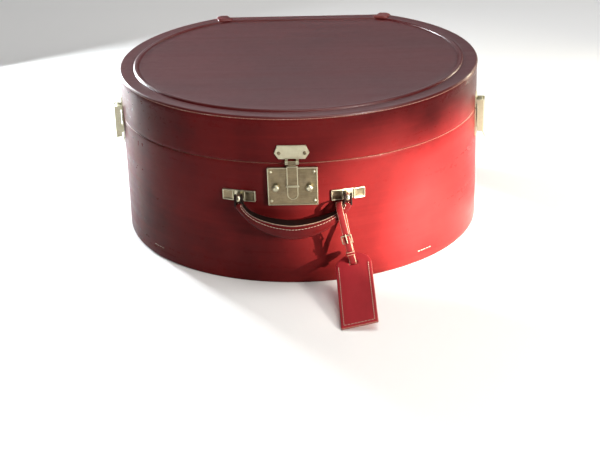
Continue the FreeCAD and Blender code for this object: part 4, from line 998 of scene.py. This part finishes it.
def stamped_plate(heap, outline, levels, place, band=0, centre_level=None, field_from=99):
    """A plate made of rings: levels is a list of (inset, height); place(x, z, height) gives the point.
    Rings from field_from on, and the middle, take the next finish."""
    rings = []
    for inset, height in levels:
        ring = shrunk(outline, inset) if inset else outline
        rings.append([place(x, z, height) for x, z in ring])
    base = len(heap.points)
    count = len(outline)
    for ring in rings:
        heap.points.extend(tuple(p) for p in ring)
    for face in sweep_faces(len(rings), count, False):
        heap.faces.append(tuple(base + v for v in face))
        heap.bands.append(band + (face[0] // count >= field_from))
    field_band = band + (field_from < 99)
    middle_x = sum(x for x, z in outline) / count
    middle_z = sum(z for x, z in outline) / count
    top_height = levels[-1][1] if centre_level is None else centre_level
    heap.points.append(tuple(place(middle_x, middle_z, top_height)))
    heap.points.append(tuple(place(middle_x, middle_z, levels[0][1])))
    top, bottom = len(heap.points) - 2, len(heap.points) - 1
    last = base + (len(rings) - 1) * count
    for j in range(count):
        k = (j + 1) % count
        heap.faces.append((last + j, last + k, top))
        heap.faces.append((base + k, base + j, bottom))
        heap.bands += [field_band, band]


def raised_frame(heap, outline, section, place, band=0):
    """A closed frame that follows an outline; section is a closed list of (inset, height)."""
    rings = []
    for inset, height in section:
        ring = shrunk(outline, inset) if inset else outline
        rings.append([place(x, z, height) for x, z in ring])
    heap.loft(rings, band, closed=True)


def on_front(x, z, height):
    """Places plate points on a flat plate at the front of the wall."""
    return Vector((x, -RADIUS - height, z))


def on_wall(azimuth_x):
    """Places plate points on the round wall; x runs along the wall from a middle at azimuth_x."""
    turn = math.asin(azimuth_x / RADIUS)

    def place(x, z, height):
        a = turn + x / RADIUS
        return Vector(((RADIUS + height) * math.sin(a), -(RADIUS + height) * math.cos(a), z))
    return place


class HATBOX_OT_handle_mounts(bpy.types.Operator):
    """Brass fittings that hold the handle: bent strip, two dished pads and the lug between them"""
    bl_idname = "hatbox.handle_mounts"
    bl_label = "Handle mounts"

    def execute(self, context):
        for sign, side in ((1, "right"), (-1, "left")):
            heap = Heap()
            place = on_wall(sign * HANDLE_HALF)
            strip = dense_outline(rounded_outline([(-19.0, PIVOT_Z - 6.1), (19.0, PIVOT_Z - 6.1),
                                                   (19.0, PIVOT_Z + 6.1), (-19.0, PIVOT_Z + 6.1)], 0.8))
            stamped_plate(heap, strip, [(0, -0.05), (0, 0.8), (0.3, 1.15), (1.0, 1.2)], place)
            for middle in (-12.55, 12.55):
                pad = rounded_outline([(middle - 6.7, PIVOT_Z - 6.3), (middle + 6.7, PIVOT_Z - 6.3),
                                       (middle + 6.7, PIVOT_Z + 6.3), (middle - 6.7, PIVOT_Z + 6.3)], 1.3)
                levels = [(0, 0.0), (0, 1.9), (0.22, 2.35), (0.6, 2.6), (1.0, 2.55), (1.3, 2.2), (1.7, 2.02),
                          (3.2, 1.9)]
                # The dished middle of each pad takes the darker brass, which paints the shade of the recess behind the
                # ears.
                stamped_plate(heap, dense_outline(pad), levels, place, centre_level=1.8, field_from=5)
            reach = [-2.0, -1.7, 1.7, 2.0]
            x_mid, wall_y = sign * HANDLE_HALF, -math.sqrt(RADIUS ** 2 - HANDLE_HALF ** 2)
            rings = []
            for x, radius in zip(reach, (4.0, 4.4, 4.4, 4.0)):
                ring = []
                for k in range(25):
                    a = math.pi * k / 24 + math.pi
                    ring.append(Vector((x_mid + x, PIVOT_Y + radius * math.sin(a), PIVOT_Z + radius * math.cos(a))))
                ring.append(Vector((x_mid + x, wall_y + 1.0, PIVOT_Z + radius)))
                ring.append(Vector((x_mid + x, wall_y + 1.0, PIVOT_Z - radius)))
                rings.append(ring)
            heap.loft(rings)
            piece = heap.piece("handle_mount_brass_" + side, ["bright_brass", "shaded_plate_brass"], "body", "brass")
            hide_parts("handle_mount_" + side)
        return {"FINISHED"}


class HATBOX_OT_lock_trim(bpy.types.Operator):
    """Bright rolled rims of the lock plate and the hasp, and the bar across the hasp"""
    bl_idname = "hatbox.lock_trim"
    bl_label = "Lock and hasp rims"

    def execute(self, context):
        heap = Heap()
        corners = [(-LOCK_HALF_W, LOCK_LOW), (LOCK_HALF_W, LOCK_LOW), (LOCK_HALF_W, LOCK_HIGH),
                   (-LOCK_HALF_W, LOCK_HIGH)]
        outline = dense_outline(rounded_outline(corners, 1.4), 3.0)
        section = [(-0.04, 0.6), (-0.06, 2.6), (0.1, 2.98), (0.4, 3.12), (0.85, 3.10), (1.15, 2.9), (1.28, 2.5),
                   (1.45, 2.24), (1.3, 2.0), (0.6, 1.4)]
        raised_frame(heap, outline, section, on_front)
        heap.piece("lock_plate_rim", ["bright_brass"], "body", "brass")

        heap = Heap()
        half, foot, top = HASP_HALF_W, HASP_FOOT, HASP_TOP
        outline = [(half * math.cos(a), foot + half + half * math.sin(a))
                   for a in [math.pi + math.pi * k / 20 for k in range(21)]]
        outline = dense_outline(outline + [(half, top), (-half, top)], 2.5)
        section = [(-0.03, 4.0), (-0.05, 5.1), (0.15, 5.42), (0.55, 5.5), (0.95, 5.44), (1.2, 5.2), (1.34, 4.85),
                   (1.2, 4.5), (0.6, 4.3)]
        raised_frame(heap, outline, section, on_front)
        rings = []
        for side, back, size in ((-1, 0, 0.7), (-1, 0.15, 0.95), (-1, 0.45, 1.0), (0, 0, 1.02),
                                 (1, 0.45, 1.0), (1, 0.15, 0.95), (1, 0, 0.7)):
            x = side * (HASP_BAR_REACH - back)
            ring = []
            for k in range(16):
                a = 2 * math.pi * k / 16
                ring.append(on_front(x, HASP_BAR_Z + 1.08 * size * math.copysign(abs(math.sin(a)) ** 0.7, math.sin(a)),
                                     5.2 + 0.85 * size * math.copysign(abs(math.cos(a)) ** 0.8, math.cos(a))))
            rings.append(ring)
        heap.loft(rings)
        heap.piece("hasp_rim_and_bar", ["bright_brass"], "hasp", "brass")
        return {"FINISHED"}


# ------------------------------------------------------------------ tag and strap
def strap_point(inward, rise, across=0.0):
    return SLOT + INWARD * inward + UPWARD * rise + ACROSS * across


def tag_slope():
    corner_drop = TAG_W / 2 * math.sin(TILT)
    fall = SLOT.z - corner_drop - TAG_LAYER_T - TAG_FLOOR_GAP
    return math.asin(fall / ((TAG_LEN - TAG_SLOT_DROP) * math.cos(TILT)))


def strap_routes():
    """Lines of the two straps as (inward, rise) points in the strap's own plane."""
    slope = tag_slope()
    through = (math.sin(slope), -math.cos(slope))
    side_step = (math.cos(slope), math.sin(slope))
    half_gap = (STRAP_T + 0.2) / 2

    def slot_line(offset, reach):
        return (side_step[0] * offset + through[0] * reach, side_step[1] * offset + through[1] * reach)

    def on_loop(degrees):
        a = math.radians(degrees)
        return (STRAP_LEAN + STRAP_LOOP_R * math.cos(a), STRAP_RISE + STRAP_LOOP_R * math.sin(a))

    foot = (-half_gap + 0.2, 6.0)
    top = on_loop(188)
    run = Vector((top[0] - foot[0], top[1] - foot[1])).normalized()

    def on_front(rise, offset):
        s = (rise - foot[1]) / run.y
        return (foot[0] + run.x * s - run.y * offset, foot[1] + run.y * s + run.x * offset)

    bulge = STRAP_T + BUCKLE_WIRE_R + 0.25
    billet = [slot_line(-half_gap, 8.0), slot_line(-half_gap, 3.0), slot_line(-half_gap, -1.5),
              on_front(6.0, 0.0), on_front(12.0, 0.0), on_front(18.0, 0.0),
              on_front(BUCKLE_RISE - BUCKLE_H / 2 - 0.2, 0.0)]
    tongue = [on_front(7.5, STRAP_LAYER + 0.3), on_front(13.0, STRAP_LAYER), on_front(19.0, STRAP_LAYER + 0.3),
              on_front(24.5, bulge), on_front(30.0, STRAP_LAYER), on_front(39.0, 0.3), on_loop(190), on_loop(150),
              on_loop(110), on_loop(70), on_loop(30), on_loop(-10), on_loop(-32),
              (STRAP_LEAN * 0.62, 22.0), (STRAP_LEAN * 0.24, 9.0), slot_line(half_gap, -1.5),
              slot_line(half_gap, 3.0), slot_line(half_gap, 8.0)]
    fold = on_front(BUCKLE_RISE - BUCKLE_H / 2 + 0.2, 0.0)
    return billet, tongue, fold, on_front, run


class HATBOX_OT_strap(bpy.types.Operator):
    """Narrow strap of the luggage tag: tongue, billet, keeper and their raw edges"""
    bl_idname = "hatbox.strap"
    bl_label = "Tag strap"

    def execute(self, context):
        # All three strap pieces take the darker strap leather, which paints shade at the sun's edge.
        billet, tongue, fold, on_front, run = strap_routes()
        heap = Heap()
        line = resampled(smooth_line([strap_point(a, b) for a, b in tongue], 10), 1.2)
        ribbon(heap, line, ACROSS, STRAP_T, STRAP_W)
        piece = heap.piece("strap_tongue_calf", ["shaded_strap_calf", "raw_edge"], "tag_strap", "burgundy_leather")
        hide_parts("strap_tongue")

        heap = Heap()
        line = resampled(smooth_line([strap_point(a, b) for a, b in billet], 10), 1.2)
        ribbon(heap, line, ACROSS, STRAP_T, STRAP_W)
        middle = strap_point(*fold)
        rings = []
        reach = STRAP_W / 2
        for share, size in ((-1, 0.8), (-0.92, 1.0), (0, 1.02), (0.92, 1.0), (1, 0.8)):
            radius = (STRAP_T / 2 + BUCKLE_WIRE_R) * size
            rings.append([middle + ACROSS * (share * reach) + (INWARD * math.cos(a) + UPWARD * math.sin(a)) * radius
                          for a in [2 * math.pi * k / 14 for k in range(14)]])
        heap.loft(rings, 1, [0] * 14)
        piece = heap.piece("strap_billet_calf", ["shaded_strap_calf", "raw_edge"], "tag_strap", "burgundy_leather")
        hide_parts("strap_billet")

        heap = Heap()
        step = UPWARD * run.y + INWARD * run.x
        out = INWARD * -run.y + UPWARD * run.x
        low, high, half = -1.55, STRAP_LAYER + 1.65, STRAP_W / 2 + 0.8
        centre = strap_point(*on_front(11.4, 0.0))
        loop = []
        for a, b in ((-half, low + 1.2), (-half + 0.8, low), (0, low - 0.1), (half - 0.8, low),
                     (half, low + 1.2), (half, high - 1.2), (half - 0.8, high), (0, high + 0.15),
                     (-half + 0.8, high), (-half, high - 1.2)):
            loop.append(centre + ACROSS * a + out * b + step * 1.8)
        loop = smooth_line(loop, 4, closed=True)
        middle = centre + out * (low + high) / 2 + step * 1.8
        rings = []
        for point in loop:
            away = (point - middle).normalized()
            rings.append([point + away * a + step * b
                          for a, b in ((-0.45, -1.7), (0.25, -1.75), (0.5, -1.2), (0.55, 0), (0.5, 1.2),
                                       (0.25, 1.75), (-0.45, 1.7))])
        heap.loft(rings, bands=[1, 1, 0, 0, 1, 1, 0], closed=True)
        piece = heap.piece("strap_keeper_calf", ["shaded_strap_calf", "raw_edge"], "tag_strap", "burgundy_leather")
        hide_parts("strap_keeper")
        return {"FINISHED"}


def tag_place():
    slope = tag_slope()
    along = INWARD * -math.cos(slope) + UPWARD * -math.sin(slope)
    upper = INWARD * -math.sin(slope) + UPWARD * math.cos(slope)
    return SLOT - along * TAG_SLOT_DROP, along, upper


def tag_half_width(b):
    """Half the width of the tag at a distance b from its arched top."""
    half = TAG_W / 2
    radius = (half ** 2 + TAG_SHOULDER ** 2) / (2 * TAG_SHOULDER)
    if b >= TAG_SHOULDER:
        corner = 1.6
        left = TAG_LEN - b
        return half - (corner - math.sqrt(max(0.0, corner ** 2 - (corner - left) ** 2)) if left < corner else 0.0)
    return math.sqrt(max(0.0, radius ** 2 - (radius - b) ** 2))


def tag_bow(a, b):
    """Slight bend of the whole tag, from long use."""
    return 0.5 * math.sin(math.pi * b / TAG_LEN) + 0.35 * (a / 23) ** 2 - 0.5


def tag_sheet(heap, low, high, crown, band, edge_band):
    """One layer of the tag between two heights, with its slot and softly domed faces."""
    start, along, upper = tag_place()
    half_s = TAG_SLOT_W / 2
    s0, s1 = TAG_SLOT_DROP - TAG_SLOT_H / 2, TAG_SLOT_DROP + TAG_SLOT_H / 2
    rows = [0.03, 0.15, 0.4, 0.8, 1.4, 2.2, 3.2, 4.6, 6.2, 8.2, 10.4, s0, (s0 + TAG_SLOT_DROP) / 2, TAG_SLOT_DROP,
            (s1 + TAG_SLOT_DROP) / 2, s1, (s1 + TAG_SHOULDER) / 2, TAG_SHOULDER]
    rows += [TAG_SHOULDER + (TAG_LEN - 2 - TAG_SHOULDER) * k / 24 for k in range(1, 25)]
    rows += [TAG_LEN - 1.2, TAG_LEN - 0.5, TAG_LEN - 0.1]
    us = 0.26
    columns = [-1, -0.985, -0.95, -0.86, -0.7, -0.5, -0.36, -us, -0.13, 0, 0.13, us, 0.36, 0.5, 0.7, 0.86,
               0.95, 0.985, 1]
    base = len(heap.points)
    width = len(columns)
    for level, sign in ((high, 1), (low, -1)):
        for b in rows:
            half = tag_half_width(b)
            inner = min(half_s, half * us * 1.1)
            if s0 - 0.01 <= b <= s1 + 0.01:
                inner = half_s
            for u in columns:
                m = abs(u)
                x = m / us * inner if m <= us else inner + (m - us) / (1 - us) * (half - inner)
                x = math.copysign(x, u)
                rim = min(half - abs(x), b, TAG_LEN - b)
                soft = min(1.0, rim / 0.7)
                lift = crown * smoothstep(rim / 9.0)
                groove = 0.22 * math.exp(-((min(half - abs(x), TAG_LEN - b) - 3.4) / 0.7) ** 2) if b > 12 else 0
                bow = tag_bow(x, b)
                height = level + sign * (lift - (1 - soft) * 0.4 - groove) + bow
                if sign < 0 and crown == 0:
                    height = level + bow
                heap.points.append(tuple(start + ACROSS * x + along * b + upper * height))
    top, under = base, base + len(rows) * width
    count = len(rows)

    def in_slot(i, j):
        return s0 - 0.01 <= rows[i] and rows[i + 1] <= s1 + 0.01 and abs(columns[j]) <= us + 0.01 \
            and abs(columns[j + 1]) <= us + 0.01

    def quad(a, b, c, d, paint):
        heap.faces.append((a, b, c, d))
        heap.bands.append(paint)

    for i in range(count - 1):
        for j in range(width - 1):
            if in_slot(i, j):
                continue
            a, b = i * width + j, i * width + j + 1
            c, d = (i + 1) * width + j + 1, (i + 1) * width + j
            quad(top + a, top + d, top + c, top + b, band)
            quad(under + a, under + b, under + c, under + d, band)
            for (i2, j2, p, q) in ((i, j - 1, a, d), (i, j + 1, c, b), (i - 1, j, b, a), (i + 1, j, d, c)):
                outside = not (0 <= i2 < count - 1 and 0 <= j2 < width - 1)
                if outside or in_slot(i2, j2):
                    quad(top + p, under + p, under + q, top + q, edge_band)


class HATBOX_OT_luggage_tag(bpy.types.Operator):
    """Luggage tag of two leathers stitched together, with a waxed edge and a slot"""
    bl_idname = "hatbox.luggage_tag"
    bl_label = "Luggage tag"

    def execute(self, context):
        start, along, upper = tag_place()
        heap = Heap()
        tag_sheet(heap, 0.0, TAG_LAYER_T, 0.35, 0, 1)
        half = TAG_W / 2 - 3.4
        top, bottom = TAG_SHOULDER - 1.0, TAG_LEN - 3.4

        def on_tag(a, b):
            return start + ACROSS * a + along * b + upper * (TAG_LAYER_T + 0.08 + tag_bow(a, b))

        for ends in (((-half, top), (-half, bottom)), ((-half, bottom), (half, bottom)),
                     ((half, bottom), (half, top))):
            (a0, b0), (a1, b1) = ends
            line = [on_tag(a0 + (a1 - a0) * k / 12, b0 + (b1 - b0) * k / 12) for k in range(13)]
            stitch_run(heap, line, lambda p: upper, band=2)
        piece = heap.piece("tag_face_calf", ["tag_calf", "raw_edge", "linen_thread"], "tag", "tag_leather")
        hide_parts("tag_front")
        heap = Heap()
        tag_sheet(heap, -TAG_LAYER_T, -0.04, 0.0, 0, 1)
        piece = heap.piece("tag_backing_calf", ["tag_calf", "red_edge"], "tag", "tag_leather")
        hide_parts("tag_back")
        return {"FINISHED"}


# ------------------------------------------------------------------ inside
def quilted(x, y):
    """Height of the quilting between 0 on its seams and 1 in the middle of a diamond."""
    pitch = sizes().quilt_pitch / MM
    a = abs(math.sin(math.pi * (x + y) / pitch / math.sqrt(2)))
    b = abs(math.sin(math.pi * (x - y) / pitch / math.sqrt(2)))
    return (min(a, 0.8) / 0.8 * min(b, 0.8) / 0.8) ** 0.5


def quilted_pad(name, base, rise, sign, body, node):
    """A pad that fills the plan inside the lining, on base, with its padded face at rise."""
    puff = sizes().quilt_puff / MM
    edge = WALL + LINING_T + 0.25
    profile = [(edge + 1.0, base), (edge + 0.1, base + sign * 0.4), (edge, base + sign * rise * 0.5),
               (edge + 0.35, base + sign * rise * 0.82), (edge + 1.3, base + sign * rise * 0.97)]
    insets = [edge + 2.4, edge + 4.0, edge + 6.0, edge + 8.5]
    points, faces, count = plan_sweep(profile, closed=False)
    inner = plan_line(insets[-1])
    rows = [[(x, y) for x, y, nx, ny in plan_line(inset)] for inset in insets]
    steps = 46
    for k in range(1, steps + 1):
        share = 1 - k / (steps + 0.5)
        rows.append([(x * share, y * share) for x, y, nx, ny in inner])
    for n, row in enumerate(rows):
        ease = min(1.0, (n + 1) / 4)
        for x, y in row:
            lift = rise - puff * (1 - quilted(x, y)) * ease + 0.15 * noise.noise(Vector((x / 9, y / 9, 4)))
            points.append((x, y, base + sign * lift))
    start = len(profile) - 1
    for row in range(start, start + len(rows)):
        for j in range(count):
            k = (j + 1) % count
            faces.append((row * count + j, row * count + k, (row + 1) * count + k, (row + 1) * count + j))
    last = (start + len(rows)) * count
    points.append((0.0, 0.0, base + sign * (rise - puff * (1 - quilted(0, 0)))))
    faces += [(last + j, last + (j + 1) % count, len(points) - 1) for j in range(count)]
    points.append((0.0, 0.0, base))
    faces += [((j + 1) % count, j, len(points) - 1) for j in range(count)]
    if sign < 0:
        faces = [tuple(reversed(f)) for f in faces]
    heap = Heap()
    heap.points, heap.faces, heap.bands = points, faces, [0] * len(faces)
    cord = [Vector((x, y, base + sign * rise * 0.9)) for x, y, nx, ny in plan_line(edge + 0.9)]
    heap.tube(cord, 0.85, 8, band=1, closed=True)
    piece = heap.piece(name, ["pad_suede", "suede"], body, "padding")
    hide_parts(node)
    return piece


def wall_lining(name, low, high, body, node):
    """Suede on the inside of the wall with a rolled hem and soft waves."""
    inner = WALL + LINING_T
    profile = [(WALL + 0.02, low), (inner - 0.2, low)]
    steps = max(6, round((high - low) / 6))
    profile += [(inner, low + 0.4 + (high - low - 3.0) * k / steps) for k in range(steps + 1)]
    profile += [(inner + 0.5, high - 2.0), (inner + 0.6, high - 1.1), (inner + 0.2, high - 0.2), (WALL + 0.02, high)]

    def ruffle(x, y, z, inset):
        return waver(x, y, z * 0.4, 14.0, 0.16) - 0.05 if inset > inner - 0.1 else 0.0

    points, faces = plan_sweep(profile, True, ruffle)[:2]
    faces = [tuple(reversed(f)) for f in faces]
    piece = new_piece(name, points, faces, ["suede"], body)
    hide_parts(node)
    return piece


class HATBOX_OT_lining(bpy.types.Operator):
    """Suede linings of the walls and the quilted pads under the lid and on the floor"""
    bl_idname = "hatbox.lining"
    bl_label = "Lining and pads"

    def execute(self, context):
        wall_lining("body_wall_suede", FLOOR_TOP, LIP_BOTTOM, "body", "body_lining")
        wall_lining("lid_wall_suede", LIP_TOP + 1.5, LID_BOARD_BOTTOM, "lid", "lid_lining")
        quilted_pad("floor_quilted_pad", FLOOR_TOP, PAD_T, 1, "body", "base_pad")
        quilted_pad("lid_quilted_pad", LID_BOARD_BOTTOM, PAD_T, -1, "lid", "lid_pad")
        return {"FINISHED"}


# ------------------------------------------------------------------ thread marks low on the wall
class HATBOX_OT_wall_marks(bpy.types.Operator):
    """Two short rows of pale thread low on the front wall"""
    bl_idname = "hatbox.wall_marks"
    bl_label = "Thread on the wall"

    def execute(self, context):
        heap = Heap()
        for low, high in MARK_SPANS:
            line = []
            for k in range(13):
                a = math.radians(low + (high - low) * k / 12 - 90)
                line.append(Vector((RADIUS * math.cos(a), RADIUS * math.sin(a), MARK_Z)))
            stitch_run(heap, line, lambda p: Vector((p.x, p.y, 0)).normalized(), length=0.0034, gap=0.0012)
        piece = heap.piece("wall_thread", ["linen_thread"], "body", "thread")
        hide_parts("thread_marks")
        return {"FINISHED"}


# ------------------------------------------------------------------ finishes of the frame's own parts
NODE_FINISHES = {
    "wood": "bent_plywood", "lip_board": "lip_paper", "lining": "suede", "padding": "pad_suede",
    "brass": "bright_brass", "steel": "pin_steel", "thread": "linen_thread",
    "burgundy_leather": "wall_calf", "dark_leather": "dark_leather", "tag_leather": "tag_calf",
}
# Lock plate, lock case, hasp and hasp screws take the darker brass all over, which paints shade into their recessed
# fields; their bright rims come from the lock trim.
SHADED_PLATE_NODES = ("lock_plate", "lock_case", "hasp", "hasp_screws")


class HATBOX_OT_frame_finishes(bpy.types.Operator):
    """Gives brass, steel, wood and leather finishes to the frame's own parts"""
    bl_idname = "hatbox.frame_finishes"
    bl_label = "Frame finishes"

    def execute(self, context):
        for name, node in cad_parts.items():
            for holder in node.material_slots:
                key = holder.material.name.split(".")[0] if holder.material else "brass"
                finish = next((f for k, f in NODE_FINISHES.items() if key.startswith(k)), None)
                if finish is None:
                    raise RuntimeError(name + " has a finish that this script doesn't know: " + key)
                holder.material = finish_named("shaded_plate_brass" if name in SHADED_PLATE_NODES else finish)
        return {"FINISHED"}


# ------------------------------------------------------------------ stage
CAMERA_AT = (0.0803, -1.6724, 0.7144)
CAMERA_AZ = math.radians(-2.903)
CAMERA_EL = math.radians(23.80)
CAMERA_ROLL = math.radians(-1.952)


def placed_lamp(name, data, at, target):
    """Hangs a lamp so that it faces its target, out of the camera's sight."""
    lamp = bpy.data.objects.new(name, data)
    bpy.context.scene.collection.objects.link(lamp)
    lamp.location = at
    lamp.rotation_euler = (Vector(target) - Vector(at)).to_track_quat("-Z", "Y").to_euler()
    lamp.visible_camera = False
    return lamp


def area_light(name, at, target, size, power, colour, height=None):
    data = bpy.data.lights.new(name, "AREA")
    data.shape = "RECTANGLE"
    data.size = size
    data.size_y = height or size
    data.energy = power
    data.color = colour
    return placed_lamp(name, data, at, target)


def spot_light(name, at, target, degrees, soft_edge, power, colour):
    data = bpy.data.lights.new(name, "SPOT")
    data.energy = power
    data.color = colour
    data.spot_size = math.radians(degrees)
    data.spot_blend = soft_edge
    data.shadow_soft_size = 0.03
    return placed_lamp(name, data, at, target)


class HATBOX_OT_stage(bpy.types.Operator):
    """Pale floor, soft studio light and the camera"""
    bl_idname = "hatbox.stage"
    bl_label = "Stage"

    def execute(self, context):
        reach = sizes().floor_reach
        cells = 16
        points, faces = [], []
        for i in range(cells + 1):
            for j in range(cells + 1):
                points.append((-reach + 2 * reach * i / cells, -reach + 2 * reach * j / cells, -0.0004))
        for i in range(cells):
            for j in range(cells):
                a = i * (cells + 1) + j
                faces.append((a, a + cells + 1, a + cells + 2, a + 1))
        mesh = bpy.data.meshes.new("floor")
        mesh.from_pydata(points, [], faces)
        mesh.materials.append(finish_named("pale_floor"))
        floor = bpy.data.objects.new("floor", mesh)
        context.scene.collection.objects.link(floor)

        world = context.scene.world or bpy.data.worlds.new("studio")
        context.scene.world = world
        world.use_nodes = True
        ground = world.node_tree.nodes.get("Background")
        ground.inputs["Color"].default_value = (0.93, 0.95, 1.0, 1.0)
        ground.inputs["Strength"].default_value = 0.10

        context.scene.view_settings.view_transform = "Standard"
        area_light("overhead_softbox", (0.65, -0.40, 2.4), (0, -0.2, 0), 2.0, 44, (1.0, 0.99, 0.97))
        area_light("sky_panel", (0.15, 2.6, 1.75), (0, 0, 0.2), 3.2, 12, (0.93, 0.95, 1.0), 1.0)
        area_light("right_fill", (1.45, -1.75, 0.85), (0.10, -0.2, 0.08), 0.4, 46, (1.0, 0.95, 0.90))
        area_light("left_strip", (-0.62, 0.50, 0.24), (-0.2, -0.06, 0.12), 0.12, 20, (0.92, 0.96, 1.0), 0.4)
        area_light("right_strip", (0.70, 0.42, 0.22), (0.2, -0.06, 0.10), 0.07, 2.5, (1.0, 0.92, 0.70), 0.4)
        spot_light("low_sun", (1.62, -1.42, 0.42), (0.192, -0.102, 0.036), 7.3, 0.22, 1900, (1.0, 0.93, 0.80))
        spot_light("low_sun_edge", (1.62, -1.42, 0.42), (0.108, -0.192, 0.083), 4.8, 0.20, 1000, (1.0, 0.93, 0.80))

        forward = Vector((math.sin(CAMERA_AZ) * math.cos(CAMERA_EL), math.cos(CAMERA_AZ) * math.cos(CAMERA_EL),
                          -math.sin(CAMERA_EL)))
        right = Vector((math.cos(CAMERA_AZ), -math.sin(CAMERA_AZ), 0))
        up = right.cross(forward)
        turned_right = right * math.cos(CAMERA_ROLL) + up * math.sin(CAMERA_ROLL)
        turned_up = up * math.cos(CAMERA_ROLL) - right * math.sin(CAMERA_ROLL)
        data = bpy.data.cameras.new("camera")
        data.sensor_fit = "HORIZONTAL"
        data.sensor_width = 36.0
        data.lens = sizes().lens
        data.dof.use_dof = False
        camera = bpy.data.objects.new("camera", data)
        context.scene.collection.objects.link(camera)
        camera.matrix_world = Matrix.Translation(CAMERA_AT) @ Matrix(
            (turned_right, turned_up, -forward)).transposed().to_4x4()
        context.scene.camera = camera
        return {"FINISHED"}


# ------------------------------------------------------------------ add-on layout
STEPS = (HATBOX_OT_stage, HATBOX_OT_frame_finishes, HATBOX_OT_wall_leather, HATBOX_OT_lid_top,
         HATBOX_OT_corner_leathers, HATBOX_OT_handle, HATBOX_OT_handle_mounts,
         HATBOX_OT_lock_trim, HATBOX_OT_strap, HATBOX_OT_luggage_tag, HATBOX_OT_lining, HATBOX_OT_wall_marks)


class HATBOX_PT_panel(bpy.types.Panel):
    """Steps that dress the hat box, in the order they are run"""
    bl_idname = "HATBOX_PT_panel"
    bl_label = "Hat Box"
    bl_space_type = "VIEW_3D"
    bl_region_type = "UI"
    bl_category = "Hat Box"

    def draw(self, context):
        column = self.layout.column()
        for step in STEPS:
            column.operator(step.bl_idname)
        for settings in (context.scene.hat_box_sizes, context.scene.hat_box_colours):
            for name in settings.bl_rna.properties.keys():
                if name not in ("rna_type", "name"):
                    column.prop(settings, name)


CLASSES = (HatBoxSizes, HatBoxColours) + STEPS + (HATBOX_PT_panel,)


def register():
    for item in CLASSES:
        bpy.utils.register_class(item)
    bpy.types.Scene.hat_box_sizes = PointerProperty(type=HatBoxSizes)
    bpy.types.Scene.hat_box_colours = PointerProperty(type=HatBoxColours)


def unregister():
    del bpy.types.Scene.hat_box_colours
    del bpy.types.Scene.hat_box_sizes
    for item in reversed(CLASSES):
        bpy.utils.unregister_class(item)


def main():
    register()
    for step in STEPS:
        group, name = step.bl_idname.split(".")
        getattr(getattr(bpy.ops, group), name)()


if __name__ == "__main__":
    main()
